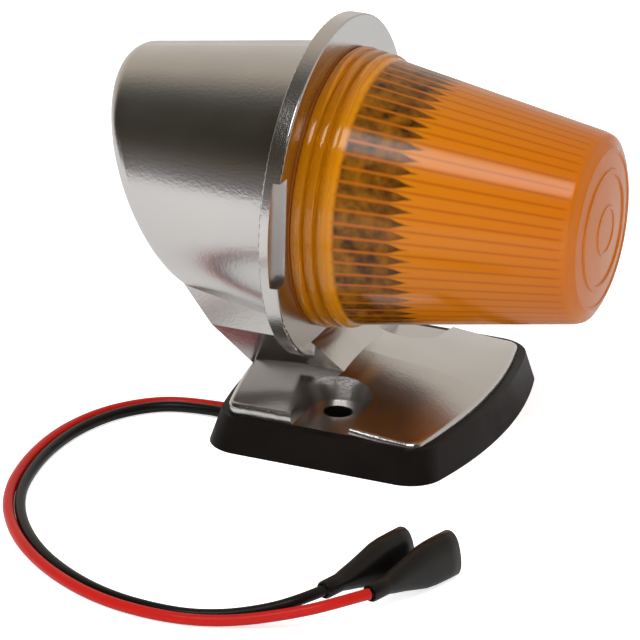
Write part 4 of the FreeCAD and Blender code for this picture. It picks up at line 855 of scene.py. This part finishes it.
@dataclass
class Optic:
    """Amber lens: beaded collar, cone over inner flutes and a slightly domed end with low rings.

    Args:
        face_mm: X of the flange face.
        axis_mm: Height of the lens axis.
        gap_mm: Collar ahead of the flange face.
        beads: Beads round the collar.
        collar_mm: Radius of the first bead.
        bead_mm: Pitch of the beads, their loss of radius and the depth of a groove.
        groove_mm: Width of a groove.
        bead_deg: Places round a bead's section that its outline goes through.
        bead_power: Fullness of that section; 1 for a half ellipse, less for a fuller one.
        root_mm: Radius of the cone behind the last bead, and how far it starts under it.
        tuck_mm: Where the cone comes out: ahead of the last bead, behind its end and over its root.
        tip_mm: Radius that the cone runs out to at its end.
        length_mm: Lens ahead of the flange face, if the cone ran out to a sharp edge.
        ease_mm: How far the whole end lies behind that edge.
        rim_mm: Rounding of the rim, how far it lies behind the crown and the step up to the dome.
        lip_mm: Slant between the rim's rounding and the dome.
        centre_mm: Radii of the dome's points inside the smallest ring.
        rings_mm: Outer radius, width and height of each low ring on the end.
        flank_mm: Slope beside a ring.
        wall_mm: Wall over the valleys of the flutes, and what the end has more.
        flutes: Flutes round the lens.
        flute_steps: Steps of the turn for each flute.
        flute_mm: Height of a flute, and how near to the valleys a point counts as one of them.
        skirt_mm: Radius, wall and depth of the skirt.
        lugs: Bayonet lugs.
        lug_mm: Height and width of a lug, and how far it reaches into the skirt.
        lug_deg: Length of a lug round the skirt.
        lug_steps: Steps of its turn.
        turn_deg: Turn of the lugs in the locked place.
        hair_mm: Smallest step between two points of the outline.
        weld_mm: Points nearer than this become one.
    """

    face_mm: float = LENS_FACE_MM
    axis_mm: float = LENS_AXIS_MM
    gap_mm: float = 0.3
    beads: int = 3
    collar_mm: float = 28.5
    bead_mm: tuple[float, float, float] = (2.5, 0.35, 0.75)
    groove_mm: float = 0.45
    bead_deg: tuple[float, ...] = (4, 14, 30, 60, 90, 120, 150, 166)
    bead_power: float = 0.6
    root_mm: tuple[float, float] = (27.0, 0.5)
    tuck_mm: tuple[float, float, float] = (0.4, 0.1, 0.05)
    tip_mm: float = 18.7
    length_mm: float = 56.2
    ease_mm: float = 0.2
    rim_mm: tuple[float, float, float] = (1.0, 1.7, 0.5)
    lip_mm: float = 0.3
    centre_mm: tuple[float, ...] = (0.0, 1.5, 3.0)
    rings_mm: tuple[tuple[float, float, float], ...] = ((5.0, 0.6, 0.2), (12.2, 1.0, 0.3), (16.2, 0.6, 0.2))
    flank_mm: float = 0.2
    wall_mm: tuple[float, float] = (2.3, 1.0)
    flutes: int = LENS_FLUTES
    flute_steps: int = 4
    flute_mm: tuple[float, float] = (0.7, 0.1)
    skirt_mm: tuple[float, float, float] = (25.2, 2.2, 5.1)
    lugs: int = 3
    lug_mm: tuple[float, float, float] = (1.5, 2.4, 0.5)
    lug_deg: float = 14.0
    lug_steps: int = 12
    turn_deg: float = 25.0
    hair_mm: float = 0.02
    weld_mm: float = 0.002

    def build(self, nodes: dict[str, bpy.types.Object]) -> None:
        """Turn the lens and let it stand for its solid.

        Args:
            nodes: Objects of the frame by name; not used, the lens dresses none of them.
        """
        form = bmesh.new()
        outline = self._end() + self._outside() + self._inside()
        self._turn(form, outline, self.flute_steps * self.flutes, 360.0)
        bmesh.ops.remove_doubles(form, verts=form.verts, dist=self.weld_mm * MM)
        self._flute(form)
        for lug in range(self.lugs):
            self._lug(form, 360.0 * lug / self.lugs + self.turn_deg)
        upright = Matrix.Translation(Vector((self.face_mm, 0.0, self.axis_mm)) * MM)
        bmesh.ops.transform(form, matrix=upright, verts=form.verts)
        finish_piece("amber_lens", form, AMBER_ACRYLIC, "lens_body", ("lens",), 35.0)

    def _last(self) -> float:
        """Return where the last bead ends, ahead of the flange face."""
        return self.gap_mm + self.beads * self.bead_mm[0]

    def _cone(self, along: float) -> float:
        """Return the outer radius of the cone.

        Args:
            along: Distance from the flange face in millimetres.

        Returns:
            The radius in millimetres.
        """
        root, under = self.root_mm
        start = self._last() - under
        return root + (self.tip_mm - root) * (along - start) / (self.length_mm - start)

    def _end(self) -> list[tuple[float, float]]:
        """Return the end's outline, from its crown over the rings to the rim's rounding."""
        rounding, drop, step = self.rim_mm
        rim = self.length_mm - drop
        flat = self._cone(rim) - rounding
        places = [(radius, 0.0) for radius in self.centre_mm]
        for outer, width, height in self.rings_mm:
            places += [(outer - width - self.flank_mm, 0.0), (outer - width, height), (outer, height),
                       (outer + self.flank_mm, 0.0)]
        crown, start = self.length_mm - self.ease_mm, rim - self.ease_mm
        dome = [(crown - (drop - step) * (radius / flat) ** 2 + rise, radius) for radius, rise in places]
        corner = [(start - rounding * (1 - math.cos(math.radians(turn))),
                   flat + rounding * math.sin(math.radians(turn))) for turn in (20, 40, 60, 80)]
        return dome + [(start + self.lip_mm, flat - self.lip_mm)] + corner

    def _outside(self) -> list[tuple[float, float]]:
        """Return the outline of the cone, the beads and the skirt, from the rim back."""
        rounding, drop, _ = self.rim_mm
        last = self._last()
        edge = self.length_mm - drop - 2 * rounding
        ahead, behind, over = self.tuck_mm
        outline = [(edge, self._cone(edge)), (last + ahead, self._cone(last + ahead)),
                   (last - behind, self.root_mm[0] + over)]
        for bead in reversed(range(self.beads)):
            outline += self._bead(bead)
        skirt, wall, depth = self.skirt_mm
        return outline + [(self.gap_mm, skirt), (-depth, skirt), (-depth, skirt - wall)]

    def _inside(self) -> list[tuple[float, float]]:
        """Return the outline of the bore, from the skirt to the middle of the end."""
        skirt, skirt_wall, _ = self.skirt_mm
        wall, more = self.wall_mm
        last, end = self._last(), self.length_mm - wall - more
        return [(last, skirt - skirt_wall), (last + self.tuck_mm[2], self._cone(last) - wall),
                (end, self._cone(end) - wall), (end + self.hair_mm, 0.0)]

    def _bead(self, bead: int) -> list[tuple[float, float]]:
        """Return the outline of a rounded bead of the collar, from its front to its back.

        Args:
            bead: Number of the bead, 0 for the one at the flange.

        Returns:
            Distances from the flange face and radii in millimetres.
        """
        pitch, step, groove = self.bead_mm
        start = self.gap_mm + bead * pitch
        top = self.collar_mm - bead * step
        half = (pitch - self.groove_mm) / 2
        points = [(start + half + half * math.cos(turn),
                   top - groove + groove * math.sin(turn) ** self.bead_power)
                  for turn in map(math.radians, self.bead_deg)]
        if bead:
            return points + [(start + self.hair_mm, top - groove)]
        return points[:-1] + [(start, top - groove)]

    def _turn(self, form: bmesh.types.BMesh, outline: list[tuple[float, float]], steps: int,
              angle_deg: float, closed: bool = False) -> None:
        """Spin an outline about the lens axis.

        Args:
            form: Mesh that takes the shape.
            outline: Distances from the flange face and radii in millimetres.
            steps: Steps of the turn.
            angle_deg: The turn, a full one when it is 360.
            closed: Whether the outline's ends are joined.
        """
        made = [form.verts.new((along * MM, radius * MM, 0.0)) for along, radius in outline]
        edges = [form.edges.new(pair) for pair in zip(made, made[1:] + (made[:1] if closed else []))]
        bmesh.ops.spin(form, geom=made + edges, cent=(0.0, 0.0, 0.0), axis=(1.0, 0.0, 0.0),
                       angle=math.radians(angle_deg), steps=steps, use_merge=angle_deg == 360.0)

    def _flute(self, form: bmesh.types.BMesh) -> None:
        """Raise the flutes on the inside of the cone.

        Args:
            form: Mesh of the turned lens.
        """
        height, near = self.flute_mm
        for vertex in form.verts:
            along, radius = vertex.co.x / MM, math.hypot(vertex.co.y, vertex.co.z) / MM
            valley = self._cone(along) - self.wall_mm[0]
            if along > self._last() + self.hair_mm and abs(radius - valley) < near:
                angle = math.atan2(vertex.co.z, vertex.co.y)
                inward = height * (0.5 - 0.5 * math.cos(self.flutes * angle)) / radius
                vertex.co.y *= 1 - inward
                vertex.co.z *= 1 - inward

    def _lug(self, form: bmesh.types.BMesh, place_deg: float) -> None:
        """Add a bayonet lug on the skirt.

        Args:
            form: Mesh that takes the lug.
            place_deg: Middle of the lug, round the lens axis.
        """
        skirt, _, depth = self.skirt_mm
        height, width, root = self.lug_mm
        before = set(form.verts)
        outline = [(-depth, skirt - root), (-depth + width, skirt - root), (-depth + width, skirt + height),
                   (-depth, skirt + height)]
        self._turn(form, outline, self.lug_steps, self.lug_deg, closed=True)
        made = [vertex for vertex in form.verts if vertex not in before]
        edges = {edge for vertex in made for edge in vertex.link_edges}
        bmesh.ops.holes_fill(form, edges=list(edges), sides=4)
        turn = Matrix.Rotation(math.radians(place_deg - self.lug_deg / 2), 4, "X")
        bmesh.ops.transform(form, matrix=turn, verts=made)


@dataclass
class BulbHolder:
    """Strap, bayonet sleeve, contacts, terminals and the leads inside."""

    def build(self, nodes: dict[str, bpy.types.Object]) -> None:
        """Dress the holder's pieces.

        Args:
            nodes: Objects of the frame by name.
        """
        dress(nodes, {
            "holder_plate": ZINC_STEEL, "holder_screws": ZINC_STEEL, "holder_washers": SPRING_STEEL,
            "holder_shell": NICKEL_BRASS, "holder_end_disc": FIBRE_BOARD, "holder_carrier": FIBRE_BOARD,
            "contact_plunger": TURNED_BRASS, "contact_spring": SPRING_STEEL, "live_rivet": TURNED_BRASS,
            "live_tab": TURNED_BRASS, "receptacle_live": TINNED_BRASS, "ring_terminal_earth": TINNED_BRASS,
            "lead_red_inside": RED_PVC, "lead_black_inside": BLACK_PVC})


@dataclass
class Bulb:
    """Bayonet bulb."""

    def build(self, nodes: dict[str, bpy.types.Object]) -> None:
        """Dress the bulb's pieces.

        Args:
            nodes: Objects of the frame by name.
        """
        dress(nodes, {
            "bulb_cap": NICKEL_BRASS, "bulb_pins": NICKEL_BRASS, "bulb_insulator": BLACK_GLASS,
            "bulb_contact": SOFT_SOLDER, "bulb_glass": BULB_GLASS, "bulb_stem": BULB_GLASS,
            "bulb_posts": NICKEL_WIRE, "bulb_filament": TUNGSTEN})


def main() -> None:
    """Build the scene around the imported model."""
    logging.basicConfig(level=logging.INFO, format="%(message)s")
    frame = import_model()
    Studio().build()
    for part in (FlyingLeads(), Casting(), Optic(), BulbHolder(), Bulb()):
        LOG.info("building %s", type(part).__name__)
        part.build(frame["nodes"])


if __name__ == "__main__":
    main()
